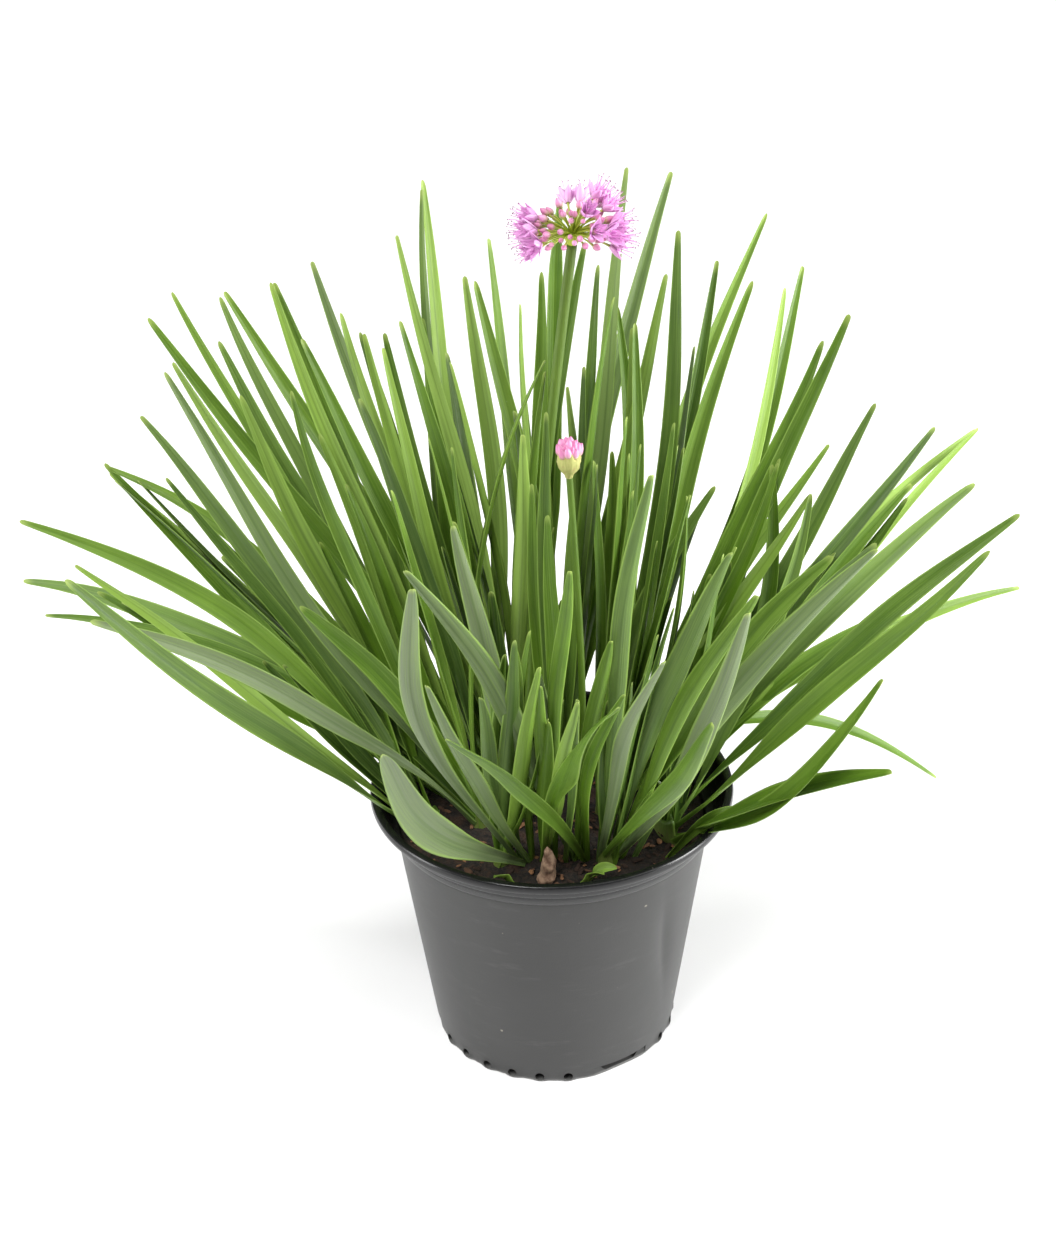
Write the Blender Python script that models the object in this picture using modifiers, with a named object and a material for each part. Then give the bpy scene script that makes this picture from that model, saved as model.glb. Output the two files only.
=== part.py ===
"""Potted ornamental onion: a round nursery pot of potting mix with strap leaves, an open umbel and a bud.

Metres, +Z up. The origin is the centre of the pot's underside, and the plant's front faces -Y.
"""

import math

import bmesh
import bpy
from mathutils import Matrix, Vector

MM = 0.001
CLEARANCE = 0.3 * MM

# Pot
POT_HEIGHT = 132 * MM
RIM_RADIUS = 85 * MM
BASE_RADIUS = 58 * MM
RIM_OVERHANG = 11 * MM
COLLAR_STEP = 2 * MM
POT_WALL = 1.5 * MM
BEAD_WIDTH = 4.5 * MM
BEAD_HEIGHT = 4.8 * MM
COLLAR_HEIGHT = 16 * MM
BASE_CORNER = 1.5 * MM
POT_SEGMENTS = 64

# Drainage at the foot of the wall
SLOT_COUNT = 3
SLOT_ANGLE = 30
SLOT_HEIGHT = 5 * MM
FIRST_SLOT_AZIMUTH = -58
NOTCHES_PER_GAP = 6
NOTCH_PITCH = 13.2
NOTCH_WIDTH = 4.5 * MM
NOTCH_HEIGHT = 3 * MM

# Potting mix
SOIL_DROP = 19 * MM
SOIL_CHAMFER = 8 * MM
SOIL_EDGE = 1.5 * MM

# Leaves
FOLIAGE_SPREAD = 1.0
FOLIAGE_HEIGHT = 1.0
LEAF_WIDTH_SCALE = 1.0
LEAF_THICKNESS = 1.4 * MM
LEAF_CHANNEL = 0.12
LEAF_STATIONS = 13
RIM_MARGIN = 2.2 * MM
FOOT_PITCH = 3.6 * MM
FOOT_WIDTH = 5.0 * MM
TIP_WIDTH = 2.2 * MM
# Shares of a leaf's length: where it is widest and its blade has turned, and where its foot has left the row
LEAF_WIDEST = 0.5
LEAF_OPENED = 0.35
LEAF_TAPER = 0.65
# A row is ordered by how far each leaf leans for its height, with this much height (mm) added to each
LEAN_HEIGHT = 60
# The radius of potting mix that the places of shoots, stalks and stump are stated for; they spread with it
PLANTED_RADIUS = 72.4 * MM

# Open flower
SCAPE_RADIUS = 2.2 * MM
SCAPE_FOOT = (-12 * MM, -6 * MM)
UMBEL_CENTRE = (12 * MM, 0 * MM)
UMBEL_HEIGHT = 285 * MM
UMBEL_RADIUS = 16.5 * MM
RECEPTACLE_RADIUS = 3.2 * MM
PEDICEL_RADIUS = 0.5 * MM
FLORET_RADIUS = 4.5 * MM
FLORET_DEPTH = 6.5 * MM
FLORET_THICKNESS = 0.6 * MM
BUD_RADIUS = 1.3 * MM
BUD_LENGTH = 4.5 * MM
# Directions from the receptacle (azimuth, elevation in degrees) of the open florets and the closed buds
FLORETS = ((150, -12), (182, -8), (208, 8), (-6, 0), (-30, -14), (14, 32), (70, 50), (-62, 22))
BUDS = ((100, 30), (125, 52), (150, 28), (180, 35), (215, 42), (235, 5), (262, -22), (238, -30), (290, -28),
        (30, 62), (330, 50), (262, 28))

# Young flower head
BUD_SCAPE_RADIUS = 1.6 * MM
BUD_SCAPE_FOOT = (14 * MM, -33 * MM)
BUD_HEAD_CENTRE = (9 * MM, -30 * MM)
BUD_HEAD_HEIGHT = 193 * MM
BUD_HEAD_RADIUS = 4.6 * MM
BUD_HEAD_LENGTH = 13 * MM

# Dry stump of last year's neck
STUMP_FOOT = (-4 * MM, -53 * MM)
STUMP_RADIUS = 4.5 * MM
STUMP_HEIGHT = 18 * MM

# Each shoot: its name, its place on the potting mix, the azimuth that its row of leaves runs along, and its
# leaves. A leaf is the place of its tip from the pot's axis and above the potting mix (mm), the bow of its
# chord towards the vertical (degrees), its width (mm) and the turn of its blade from foot to tip (degrees).
SHOOTS = (
    ("left", (-55, -14), 250, (
        ((-192, -95, 180), -4, 11, -65),
        ((-233, 10, 155), 8, 9, -60),
        ((-180, 40, 191), 0, 9, -60),
    )),
    ("left_rear", (-46, 16), 165, (
        ((-262, 115, 70), 22, 10, -60),
        ((-206, 75, 152), 3, 9, -50),
        ((-173, 115, 221), -3, 8, -50),
    )),
    ("mid_left", (-30, -8), 200, (
        ((-192, -60, 142), 15, 10, -60),
        ((-164, 20, 220), -5, 9, -55),
        ((-119, 65, 243), -4, 8, -50),
        ((-61, 10, 245), 0, 8, -30),
    )),
    ("inner_left", (-14, 16), 160, (
        ((-181, 90, 218), 0, 9, -55),
        ((-105, 100, 240), -4, 10, -50),
        ((-67, 125, 243), 0, 8, -30),
    )),
    ("rear_left", (-28, 46), 160, (
        ((-154, 120, 194), 4, 8, -50),
        ((-55, 145, 263), -3, 9, 20),
    )),
    ("rear", (4, 40), 0, (
        ((-24, 95, 251), 0, 9, 30),
        ((10, 145, 263), 0, 9, 10),
        ((40, 110, 278), 2, 9, -10),
        ((62, 140, 266), 2, 9, 30),
    )),
    ("rear_right", (34, 32), 20, (
        ((104, 110, 255), 2, 9, 50),
        ((125, 135, 220), 2, 8, 50),
        ((133, 75, 154), 4, 7, 50),
        ((186, 140, 101), 8, 9, 50),
    )),
    ("mid_right", (26, 0), 15, (
        ((133, 35, 234), 2, 9, 50),
        ((93, 60, 241), -3, 9, 50),
        ((34, -15, 210), 0, 9, 30),
    )),
    ("right_rear", (54, 12), 20, (
        ((234, 95, 65), 28, 8, 50),
        ((210, 115, 142), 8, 8, 50),
        ((146, 30, 194), 0, 8, 50),
    )),
    ("right_low", (50, 34), 30, (
        ((204, 110, -56), 75, 8, 40),
    )),
    ("right", (52, -20), -60, (
        ((207, 0, 153), 2, 9, 60),
        ((195, 40, 149), 6, 10, 60),
        ((178, -75, 174), -4, 11, 60),
        ((130, -120, 141), -2, 12, 50),
        ((137, -115, 94), 12, 12, 20),
    )),
    ("front_right", (24, -43), -10, (
        ((75, -130, 178), -6, 10, 50),
        ((60, -155, 144), -8, 10, 40),
        ((42, -145, 166), -6, 9, 30),
        ((40, -90, 218), 0, 9, 30),
        ((-43, -125, 121), -20, 9, -30),
    )),
    ("front", (-2, -38), 0, (
        ((25, -135, 140), 2, 10, 20),
        ((8, -100, 186), 0, 7, 0),
    )),
    ("front_left", (-24, -40), 200, (
        ((-67, -145, 127), -14, 13, -40),
        ((-52, -150, 202), -6, 10, -40),
        ((-58, -95, 181), 0, 11, -50),
    )),
)


# Places that the pieces share
WALL_TOP_RADIUS = RIM_RADIUS - RIM_OVERHANG
COLLAR_FOOT_RADIUS = WALL_TOP_RADIUS + COLLAR_STEP
SOIL_TOP = POT_HEIGHT - SOIL_DROP
FOOT_LEVEL = SOIL_TOP + CLEARANCE + LEAF_THICKNESS / 2


def clear_scene():
    """Remove the objects that the file opened with."""
    for obj in list(bpy.data.objects):
        bpy.data.objects.remove(obj, do_unlink=True)


def new_collection(name):
    """Return a collection in the scene, so that parts and cutters are kept apart."""
    collection = bpy.data.collections.new(name)
    bpy.context.scene.collection.children.link(collection)
    return collection


def principled(name, colour, roughness, metallic=0.0):
    """Return a plain material."""
    material = bpy.data.materials.new(name)
    material.use_nodes = True
    shader = material.node_tree.nodes["Principled BSDF"]
    shader.inputs["Base Color"].default_value = (*colour, 1.0)
    shader.inputs["Roughness"].default_value = roughness
    shader.inputs["Metallic"].default_value = metallic
    return material


def add_object(name, mesh, collection, material=None, location=(0, 0, 0)):
    """Link a mesh to the scene as one named object."""
    obj = bpy.data.objects.new(name, mesh)
    obj.location = location
    collection.objects.link(obj)
    if material is not None:
        mesh.materials.append(material)
    return obj


def finish_mesh(bm, name, smooth_angle=40):
    """Turn a bmesh into a mesh that is shaded smooth up to an edge angle."""
    bmesh.ops.recalc_face_normals(bm, faces=bm.faces)
    mesh = bpy.data.meshes.new(name)
    bm.to_mesh(mesh)
    bm.free()
    mesh.shade_smooth()
    mesh.set_sharp_from_angle(angle=math.radians(smooth_angle))
    return mesh


def turned(name, profile, collection, material, segments=POT_SEGMENTS):
    """Turn a profile of (radius, height) points about +Z; it runs down the outer side."""
    mesh = bpy.data.meshes.new(name)
    points = [(radius, 0.0, height) for radius, height in profile]
    edges = [(k, k + 1) for k in range(len(points) - 1)]
    mesh.from_pydata(points, edges, [])
    obj = add_object(name, mesh, collection, material)
    screw = obj.modifiers.new("Turn", "SCREW")
    screw.steps = segments
    screw.render_steps = segments
    screw.use_merge_vertices = True
    screw.merge_threshold = 0.00001
    return obj


def bead_arc(first, last):
    """Return points of the lip's rolled bead, between two angles in degrees from its outermost point."""
    points = []
    for angle in range(first, last - 1, -30):
        reach = BEAD_WIDTH / 2 * (math.cos(math.radians(angle)) - 1)
        rise = BEAD_HEIGHT / 2 * (math.sin(math.radians(angle)) - 1)
        points.append((RIM_RADIUS + reach, POT_HEIGHT + rise))
    return points


def outer_profile():
    """Return the pot's outer side, from the top of the lip down to the centre of the underside."""
    collar_foot = POT_HEIGHT - COLLAR_HEIGHT
    return bead_arc(90, -90) + [
        (COLLAR_FOOT_RADIUS, collar_foot),
        (WALL_TOP_RADIUS, collar_foot - COLLAR_STEP),
        (BASE_RADIUS, BASE_CORNER),
        (BASE_RADIUS - 0.3 * BASE_CORNER, 0.3 * BASE_CORNER),
        (BASE_RADIUS - BASE_CORNER, 0.0),
        (0.0, 0.0),
    ]


def inner_profile():
    """Return the pot's inner side, from the centre of its floor up to the lip."""
    collar_foot = POT_HEIGHT - COLLAR_HEIGHT
    return [
        (0.0, POT_WALL),
        (BASE_RADIUS - POT_WALL - BASE_CORNER, POT_WALL),
        (BASE_RADIUS - POT_WALL, POT_WALL + BASE_CORNER),
        (WALL_TOP_RADIUS - POT_WALL, collar_foot - COLLAR_STEP),
        (COLLAR_FOOT_RADIUS - POT_WALL, collar_foot),
        (RIM_RADIUS - BEAD_WIDTH, POT_HEIGHT - BEAD_HEIGHT),
    ] + bead_arc(180, 120)


def inner_radius(height):
    """Return the radius of the pot's inner side at a height above its floor's corner."""
    side = inner_profile()[1:]
    for (r0, z0), (r1, z1) in zip(side, side[1:]):
        if z0 <= height <= z1:
            return r0 + (r1 - r0) * (height - z0) / (z1 - z0)
    return side[-1][0]


def box_into(bm, centre, size, azimuth):
    """Add a box to a bmesh, turned about +Z to face an azimuth in degrees."""
    turn = Matrix.Rotation(math.radians(azimuth), 4, "Z")
    place = turn @ Matrix.Translation(centre) @ Matrix.Diagonal((*size, 1.0))
    bmesh.ops.create_cube(bm, size=1.0, matrix=place)


def cutter_object(name, bm, collection):
    """Return a cutter made of a bmesh's boxes."""
    cutter = add_object(name, finish_mesh(bm, name), collection)
    cutter.hide_render = True
    cutter.display_type = "WIRE"
    return cutter


def cut(obj, name, cutter):
    """Cut one object with another."""
    boolean = obj.modifiers.new(name, "BOOLEAN")
    boolean.operation = "DIFFERENCE"
    boolean.object = cutter


def floor_edge_cutter(collection):
    """Return the cutter that takes the floor's edge back to a straight line under each slot."""
    bm = bmesh.new()
    slot_half = math.radians(SLOT_ANGLE / 2)
    chord = BASE_RADIUS * math.cos(slot_half)
    width = 2 * BASE_RADIUS * math.sin(slot_half)
    for slot in range(SLOT_COUNT):
        azimuth = FIRST_SLOT_AZIMUTH + slot * 360 / SLOT_COUNT
        box_into(bm, (chord + BASE_RADIUS / 2, 0, 0), (BASE_RADIUS, width, 2 * POT_WALL), azimuth)
    return cutter_object("floor_edge_cutter", bm, collection)


def drainage_cutter(collection):
    """Return the cutter for the wide slots and the small holes that ring the wall's foot above the floor."""
    bm = bmesh.new()
    slot_half = math.radians(SLOT_ANGLE / 2)
    slot_step = 360 / SLOT_COUNT
    depth = 4 * POT_WALL
    floor = POT_WALL - CLEARANCE
    for slot in range(SLOT_COUNT):
        azimuth = FIRST_SLOT_AZIMUTH + slot * slot_step
        width = 2 * BASE_RADIUS * math.sin(slot_half)
        middle = (BASE_RADIUS * math.cos(slot_half) + depth / 4, 0, floor + SLOT_HEIGHT / 2)
        box_into(bm, middle, (2 * depth, width, SLOT_HEIGHT), azimuth)
        first = azimuth + (slot_step - NOTCH_PITCH * (NOTCHES_PER_GAP - 1)) / 2
        for notch in range(NOTCHES_PER_GAP):
            middle = (BASE_RADIUS, 0, POT_WALL + NOTCH_HEIGHT / 2)
            box_into(bm, middle, (depth, NOTCH_WIDTH, NOTCH_HEIGHT), first + notch * NOTCH_PITCH)
    return cutter_object("drainage_cutter", bm, collection)


def make_pot(parts, cutters):
    """Make the pot: a thin turned wall with a rolled lip, a collar and drainage cut around its foot."""
    material = principled("pot_plastic", (0.045, 0.045, 0.043), 0.4)
    pot = turned("pot", inner_profile() + outer_profile(), parts, material)
    cut(pot, "Floor edge", floor_edge_cutter(cutters))
    cut(pot, "Drainage", drainage_cutter(cutters))
    return pot


def make_potting_mix(parts):
    """Make the potting mix, which fills the pot up to below its collar."""
    material = principled("potting_mix", (0.035, 0.022, 0.014), 0.95)
    floor = POT_WALL + CLEARANCE
    side_foot = floor + SOIL_CHAMFER
    profile = [
        (0.0, SOIL_TOP),
        (inner_radius(SOIL_TOP) - CLEARANCE - SOIL_EDGE, SOIL_TOP),
        (inner_radius(SOIL_TOP - SOIL_EDGE) - CLEARANCE, SOIL_TOP - SOIL_EDGE),
        (inner_radius(side_foot) - CLEARANCE, side_foot),
        (inner_radius(side_foot) - SOIL_CHAMFER, floor),
        (0.0, floor),
    ]
    return turned("potting_mix", profile, parts, material)


def planted(place, height):
    """Return the point above a place that is stated for the planted radius, spread with the potting mix."""
    spread = inner_radius(SOIL_TOP) / PLANTED_RADIUS
    return Vector((place[0] * spread, place[1] * spread, height))


def horizontal(azimuth):
    """Return the unit vector of an azimuth in degrees, from +X towards +Y."""
    return Vector((math.cos(math.radians(azimuth)), math.sin(math.radians(azimuth)), 0.0))


def smooth_step(t):
    """Return the smooth step of t between 0 and 1."""
    t = min(max(t, 0.0), 1.0)
    return t * t * (3 - 2 * t)


def bowed_middle(foot, tip, bow):
    """Return the middle control point of a leaf whose start is turned towards the vertical by its bow."""
    chord = tip - foot
    axis = chord.cross(Vector((0.0, 0.0, 1.0)))
    if axis.length < 1e-6:
        return foot + chord / 2
    return foot + Matrix.Rotation(math.radians(bow), 3, axis.normalized()) @ (chord / 2)


def on_bow(foot, middle, tip, t):
    """Return the point of a leaf's bow at a share of its length."""
    return (1 - t) ** 2 * foot + 2 * t * (1 - t) * middle + t * t * tip


def rim_gap(foot, middle, tip):
    """Return how high a leaf's bow passes over the pot's lip, or None where it stays inside it."""
    heights = []
    for k in range(1, 101):
        point = on_bow(foot, middle, tip, k / 100)
        if RIM_RADIUS - BEAD_WIDTH <= math.hypot(point.x, point.y) <= RIM_RADIUS:
            heights.append(point.z - POT_HEIGHT)
    return min(heights, default=None)


def rim_lift(foot, tip, bow):
    """Return how many degrees of bow a leaf lacks to pass clear of the pot's lip."""
    for lift in range(0, 90 - bow):
        gap = rim_gap(foot, bowed_middle(foot, tip, bow + lift), tip)
        if gap is None or gap >= RIM_MARGIN:
            return lift
    return 90 - bow


def leaf_half_width(t, width):
    """Return a leaf's half width: narrow at the foot, widest past the middle, with a blunt tip."""
    foot_width = min(FOOT_WIDTH, width)
    body = foot_width + (width - foot_width) * smooth_step(t / LEAF_WIDEST)
    beyond = max(0.0, (t - LEAF_WIDEST) / (1 - LEAF_WIDEST))
    taper = max(0.0, 1 - beyond ** 2) ** LEAF_TAPER
    return max(body * taper, TIP_WIDTH) / 2


def leaf_mesh(name, foot, tip, bow, width, turn, foot_side):
    """Return a leaf's blade as a sheet with a shallow channel, three points across at each station."""
    middle = bowed_middle(foot, tip, bow)
    reach = tip - foot
    reach.z = 0.0
    side_out = Vector((-reach.y, reach.x, 0.0)).normalized()
    if side_out.dot(foot_side) < 0:
        foot_side = -foot_side
    bm = bmesh.new()
    rows = []
    for station in range(LEAF_STATIONS):
        t = station / (LEAF_STATIONS - 1)
        point = on_bow(foot, middle, tip, t)
        along = ((1 - t) * (middle - foot) + t * (tip - middle)).normalized()
        side = foot_side.lerp(side_out, smooth_step(t / LEAF_OPENED))
        side = (side - along * side.dot(along)).normalized()
        side = Matrix.Rotation(math.radians(turn * smooth_step(t / LEAF_WIDEST)), 3, along) @ side
        upper = along.cross(side)
        half = leaf_half_width(t, width)
        edge_rise = upper * (2 * half * LEAF_CHANNEL)
        row = [point - side * half + edge_rise, point, point + side * half + edge_rise]
        if station == 0:
            for corner in row:
                corner.z = SOIL_TOP + CLEARANCE + abs(upper.z) * LEAF_THICKNESS / 2
        rows.append([bm.verts.new(corner) for corner in row])
    for lower, higher in zip(rows, rows[1:]):
        for k in range(2):
            bm.faces.new((lower[k], lower[k + 1], higher[k + 1], higher[k]))
    return finish_mesh(bm, name)


def leaf_tip(leaf):
    """Return the place of a leaf's tip from its line in the table of shoots."""
    x, y, height = leaf[0]
    return Vector((x * MM * FOLIAGE_SPREAD, y * MM * FOLIAGE_SPREAD, SOIL_TOP + height * MM * FOLIAGE_HEIGHT))


def make_leaf(name, foot, row_side, leaf, lift, parts, material):
    """Make one leaf from its line in the table of shoots, bowed up by its shoot's lift."""
    bow, width, turn = leaf[1:]
    mesh = leaf_mesh(name, foot, leaf_tip(leaf), bow + lift, width * MM * LEAF_WIDTH_SCALE, turn, row_side)
    obj = add_object(name, mesh, parts, material)
    solidify = obj.modifiers.new("Thickness", "SOLIDIFY")
    solidify.thickness = LEAF_THICKNESS
    solidify.offset = 0.0
    return obj


def lean_along(row, place, leaf):
    """Return how far a leaf leans along its shoot's row, for its height."""
    x, y, height = leaf[0]
    reach = Vector((x - place[0], y - place[1], 0.0))
    return reach.dot(row) / (abs(height) + LEAN_HEIGHT)


def make_shoots(parts):
    """Make every shoot: a row of leaves, in which the one that leans out furthest stands outermost."""
    material = principled("leaf", (0.09, 0.22, 0.035), 0.5)
    for name, place, azimuth, leaves in SHOOTS:
        row = horizontal(azimuth)
        row_side = Vector((-row.y, row.x, 0.0))
        centre = planted((place[0] * MM, place[1] * MM), FOOT_LEVEL)
        ordered = sorted(leaves, key=lambda leaf: lean_along(row, place, leaf), reverse=True)
        feet = [centre + row * FOOT_PITCH * ((len(leaves) - 1) / 2 - k) for k in range(len(leaves))]
        lift = max(rim_lift(foot, leaf_tip(leaf), leaf[1]) for foot, leaf in zip(feet, ordered))
        for k, (foot, leaf) in enumerate(zip(feet, ordered)):
            make_leaf(f"leaf_{name}_{k + 1}", foot, row_side, leaf, lift, parts, material)


def stem(name, foot, top, radius, material, parts, sway):
    """Make a round stalk that sways once between its foot and its top."""
    curve = bpy.data.curves.new(name, "CURVE")
    curve.dimensions = "3D"
    curve.bevel_depth = radius
    curve.bevel_resolution = 2
    curve.use_fill_caps = True
    spline = curve.splines.new("POLY")
    count = 14
    spline.points.add(count - 1)
    for k in range(count):
        t = k / (count - 1)
        point = foot.lerp(top, t) + sway * math.sin(math.pi * t)
        spline.points[k].co = (*point, 1.0)
    obj = bpy.data.objects.new(name, curve)
    parts.objects.link(obj)
    curve.materials.append(material)
    weld = obj.modifiers.new("Caps", "WELD")
    weld.merge_threshold = 0.00001
    return obj


def spindle_into(bm, start, direction, stations, sides=6):
    """Add a closed spindle to a bmesh: rings of (distance, radius) along a direction."""
    direction = direction.normalized()
    across = direction.orthogonal().normalized()
    other = direction.cross(across)
    rings = []
    for distance, radius in stations:
        centre = start + direction * distance
        ring = []
        for k in range(sides):
            angle = 2 * math.pi * k / sides
            ring.append(bm.verts.new(centre + (across * math.cos(angle) + other * math.sin(angle)) * radius))
        rings.append(ring)
    for lower, higher in zip(rings, rings[1:]):
        for k in range(sides):
            after = (k + 1) % sides
            bm.faces.new((lower[k], lower[after], higher[after], higher[k]))
    bm.faces.new(rings[0][::-1])
    bm.faces.new(rings[-1])


def around_umbel(azimuth, elevation):
    """Return a point of the umbel's sphere from its centre, for a direction in degrees."""
    point = horizontal(azimuth) * math.cos(math.radians(elevation))
    point.z = math.sin(math.radians(elevation))
    return point * UMBEL_RADIUS


def make_umbel(parts, cutters, centre):
    """Make the receptacle, which carries every stalk and closed bud as one grown piece."""
    material = principled("umbel_stalks", (0.35, 0.42, 0.08), 0.5)
    root = 0.6 * RECEPTACLE_RADIUS
    bm = bmesh.new()
    for direction in FLORETS:
        reach = UMBEL_RADIUS - CLEARANCE - FLORET_THICKNESS / 2
        stalk = [(root, PEDICEL_RADIUS), (reach, PEDICEL_RADIUS * 1.3)]
        spindle_into(bm, centre, around_umbel(*direction), stalk)
    for direction in BUDS:
        reach = UMBEL_RADIUS - BUD_LENGTH / 2
        shape = [(root, PEDICEL_RADIUS), (reach, PEDICEL_RADIUS), (reach + 0.35 * BUD_LENGTH, BUD_RADIUS),
                 (reach + 0.7 * BUD_LENGTH, 0.8 * BUD_RADIUS), (reach + BUD_LENGTH, 0.25 * BUD_RADIUS)]
        spindle_into(bm, centre, around_umbel(*direction), shape)
    stalks = cutter_object("stalk_set", bm, cutters)
    bm = bmesh.new()
    bmesh.ops.create_icosphere(bm, subdivisions=2, radius=RECEPTACLE_RADIUS, matrix=Matrix.Translation(centre))
    receptacle = add_object("umbel_stalks", finish_mesh(bm, "umbel_stalks"), parts, material)
    joined = receptacle.modifiers.new("Stalks", "BOOLEAN")
    joined.operation = "UNION"
    joined.object = stalks


def floret_mesh(name):
    """Return one open floret: six pointed tepals in a shallow cup that faces +Z."""
    bm = bmesh.new()
    middle = bm.verts.new((0.0, 0.0, 0.0))
    ring = []
    for k in range(12):
        angle = math.radians(30 * k)
        reach = 1.0 if k % 2 == 0 else 0.4
        radius = reach * FLORET_RADIUS
        rise = reach * FLORET_DEPTH
        ring.append(bm.verts.new((radius * math.cos(angle), radius * math.sin(angle), rise)))
    for k in range(12):
        bm.faces.new((middle, ring[k], ring[(k + 1) % 12]))
    return finish_mesh(bm, name)


def make_florets(parts, centre):
    """Make the open florets, each on the end of its stalk and facing away from the umbel's centre."""
    material = principled("tepals", (0.62, 0.24, 0.55), 0.6)
    for k, direction in enumerate(FLORETS):
        name = f"floret_{k + 1}"
        place = around_umbel(*direction)
        obj = add_object(name, floret_mesh(name), parts, material, centre + place)
        obj.rotation_euler = place.to_track_quat("Z", "Y").to_euler()
        solidify = obj.modifiers.new("Thickness", "SOLIDIFY")
        solidify.thickness = FLORET_THICKNESS
        solidify.offset = 0.0


def make_bud_head(parts, base):
    """Make the young head: a papery spathe around closed buds, on the bud's own stalk."""
    spathe = principled("spathe", (0.55, 0.48, 0.25), 0.8)
    length = BUD_HEAD_LENGTH
    radius = BUD_HEAD_RADIUS
    profile = [(0.0, length), (0.5 * radius, 0.97 * length), (0.8 * radius, 0.8 * length),
               (radius, 0.45 * length), (0.85 * radius, 0.2 * length), (0.35 * radius, 0.0), (0.0, 0.0)]
    head = turned("bud_head", profile, parts, spathe, segments=12)
    head.location = base
    return head


def make_stump(parts):
    """Make the dry stump of an old neck, a knobbly spindle that stands at the front."""
    material = principled("dry_sheath", (0.22, 0.13, 0.08), 0.9)
    foot = planted(STUMP_FOOT, SOIL_TOP + CLEARANCE)
    bm = bmesh.new()
    shape = [(0.0, 0.8), (0.2, 1.0), (0.4, 0.75), (0.6, 0.85), (0.85, 0.5), (1.0, 0.25)]
    rings = [(height * STUMP_HEIGHT, radius * STUMP_RADIUS) for height, radius in shape]
    spindle_into(bm, foot, Vector((0.0, 0.0, 1.0)), rings, sides=8)
    return add_object("dry_stump", finish_mesh(bm, "dry_stump"), parts, material)


def make_flowers(parts, cutters):
    """Make both flowering stalks with the open umbel and the young head."""
    green = principled("scape", (0.12, 0.2, 0.04), 0.5)
    centre = Vector((*UMBEL_CENTRE, SOIL_TOP + UMBEL_HEIGHT))
    below = Vector((0.0, 0.0, RECEPTACLE_RADIUS + CLEARANCE))
    foot = planted(SCAPE_FOOT, SOIL_TOP + CLEARANCE)
    stem("flower_scape", foot, centre - below, SCAPE_RADIUS, green, parts, Vector((-4 * MM, 0.0, 0.0)))
    make_umbel(parts, cutters, centre)
    make_florets(parts, centre)
    head_base = Vector((*BUD_HEAD_CENTRE, SOIL_TOP + BUD_HEAD_HEIGHT))
    bud_foot = planted(BUD_SCAPE_FOOT, SOIL_TOP + CLEARANCE)
    bud_top = head_base - Vector((0.0, 0.0, CLEARANCE))
    stem("bud_scape", bud_foot, bud_top, BUD_SCAPE_RADIUS, green, parts, Vector((2 * MM, 0.0, 0.0)))
    make_bud_head(parts, head_base)


def main():
    clear_scene()
    parts = new_collection("potted_ornamental_onion")
    cutters = new_collection("cutters")
    make_pot(parts, cutters)
    make_potting_mix(parts)
    make_shoots(parts)
    make_flowers(parts, cutters)
    make_stump(parts)


main()
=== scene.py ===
import math

import bmesh
import bpy
import numpy as np
from mathutils import Matrix, Vector, noise


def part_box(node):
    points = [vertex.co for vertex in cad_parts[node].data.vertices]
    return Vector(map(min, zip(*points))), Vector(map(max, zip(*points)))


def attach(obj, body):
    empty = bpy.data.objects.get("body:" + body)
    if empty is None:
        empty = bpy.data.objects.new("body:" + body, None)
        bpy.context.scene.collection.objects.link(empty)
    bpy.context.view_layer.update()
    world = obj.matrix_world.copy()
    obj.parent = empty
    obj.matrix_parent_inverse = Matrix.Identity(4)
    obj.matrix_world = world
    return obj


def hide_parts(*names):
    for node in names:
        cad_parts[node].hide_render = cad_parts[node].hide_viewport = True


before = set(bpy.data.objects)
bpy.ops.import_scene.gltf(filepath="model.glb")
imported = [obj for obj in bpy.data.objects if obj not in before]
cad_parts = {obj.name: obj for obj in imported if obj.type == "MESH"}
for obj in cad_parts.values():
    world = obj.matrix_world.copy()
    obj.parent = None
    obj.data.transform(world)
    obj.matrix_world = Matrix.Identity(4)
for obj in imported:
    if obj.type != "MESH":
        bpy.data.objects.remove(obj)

MM = 0.001
FOOT_DEPTH = 2 * MM          # how far a leaf's foot stands in the mix
GOLDEN_ANGLE = 2.39996
POT_SEGMENTS = 240
POT_BASE_RADIUS = 58 * MM
POT_WALL = 1.4 * MM
COLLAR_DEPTH = 17.6 * MM
HOLE_STEP = 13.2             # degrees between the pot's drain holes
SLOT_AZIMUTHS = (-58, 62, 182)
BARK_CHIPS = 560
rng = np.random.default_rng(7)


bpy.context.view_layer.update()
soil_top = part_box("potting_mix")[1].z
pot_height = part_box("pot")[1].z
rim_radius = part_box("pot")[1].x


# Finishes

class Value:
    """A shader value that can be written into sums and products."""

    def __init__(self, tree, socket):
        self.tree = tree
        self.socket = socket

    def math(self, operation, *terms):
        node = self.tree.nodes.new("ShaderNodeMath")
        node.operation = operation
        for socket, term in zip(node.inputs, terms):
            if isinstance(term, Value):
                self.tree.links.new(term.socket, socket)
            else:
                socket.default_value = term
        return Value(self.tree, node.outputs[0])

    def __add__(self, other):
        return self.math("ADD", self, other)

    __radd__ = __add__

    def __sub__(self, other):
        return self.math("SUBTRACT", self, other)

    def __rsub__(self, other):
        return self.math("SUBTRACT", other, self)

    def __mul__(self, other):
        return self.math("MULTIPLY", self, other)

    __rmul__ = __mul__

    def __abs__(self):
        return self.math("ABSOLUTE", self)

    def sine(self):
        return self.math("SINE", self)


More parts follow.
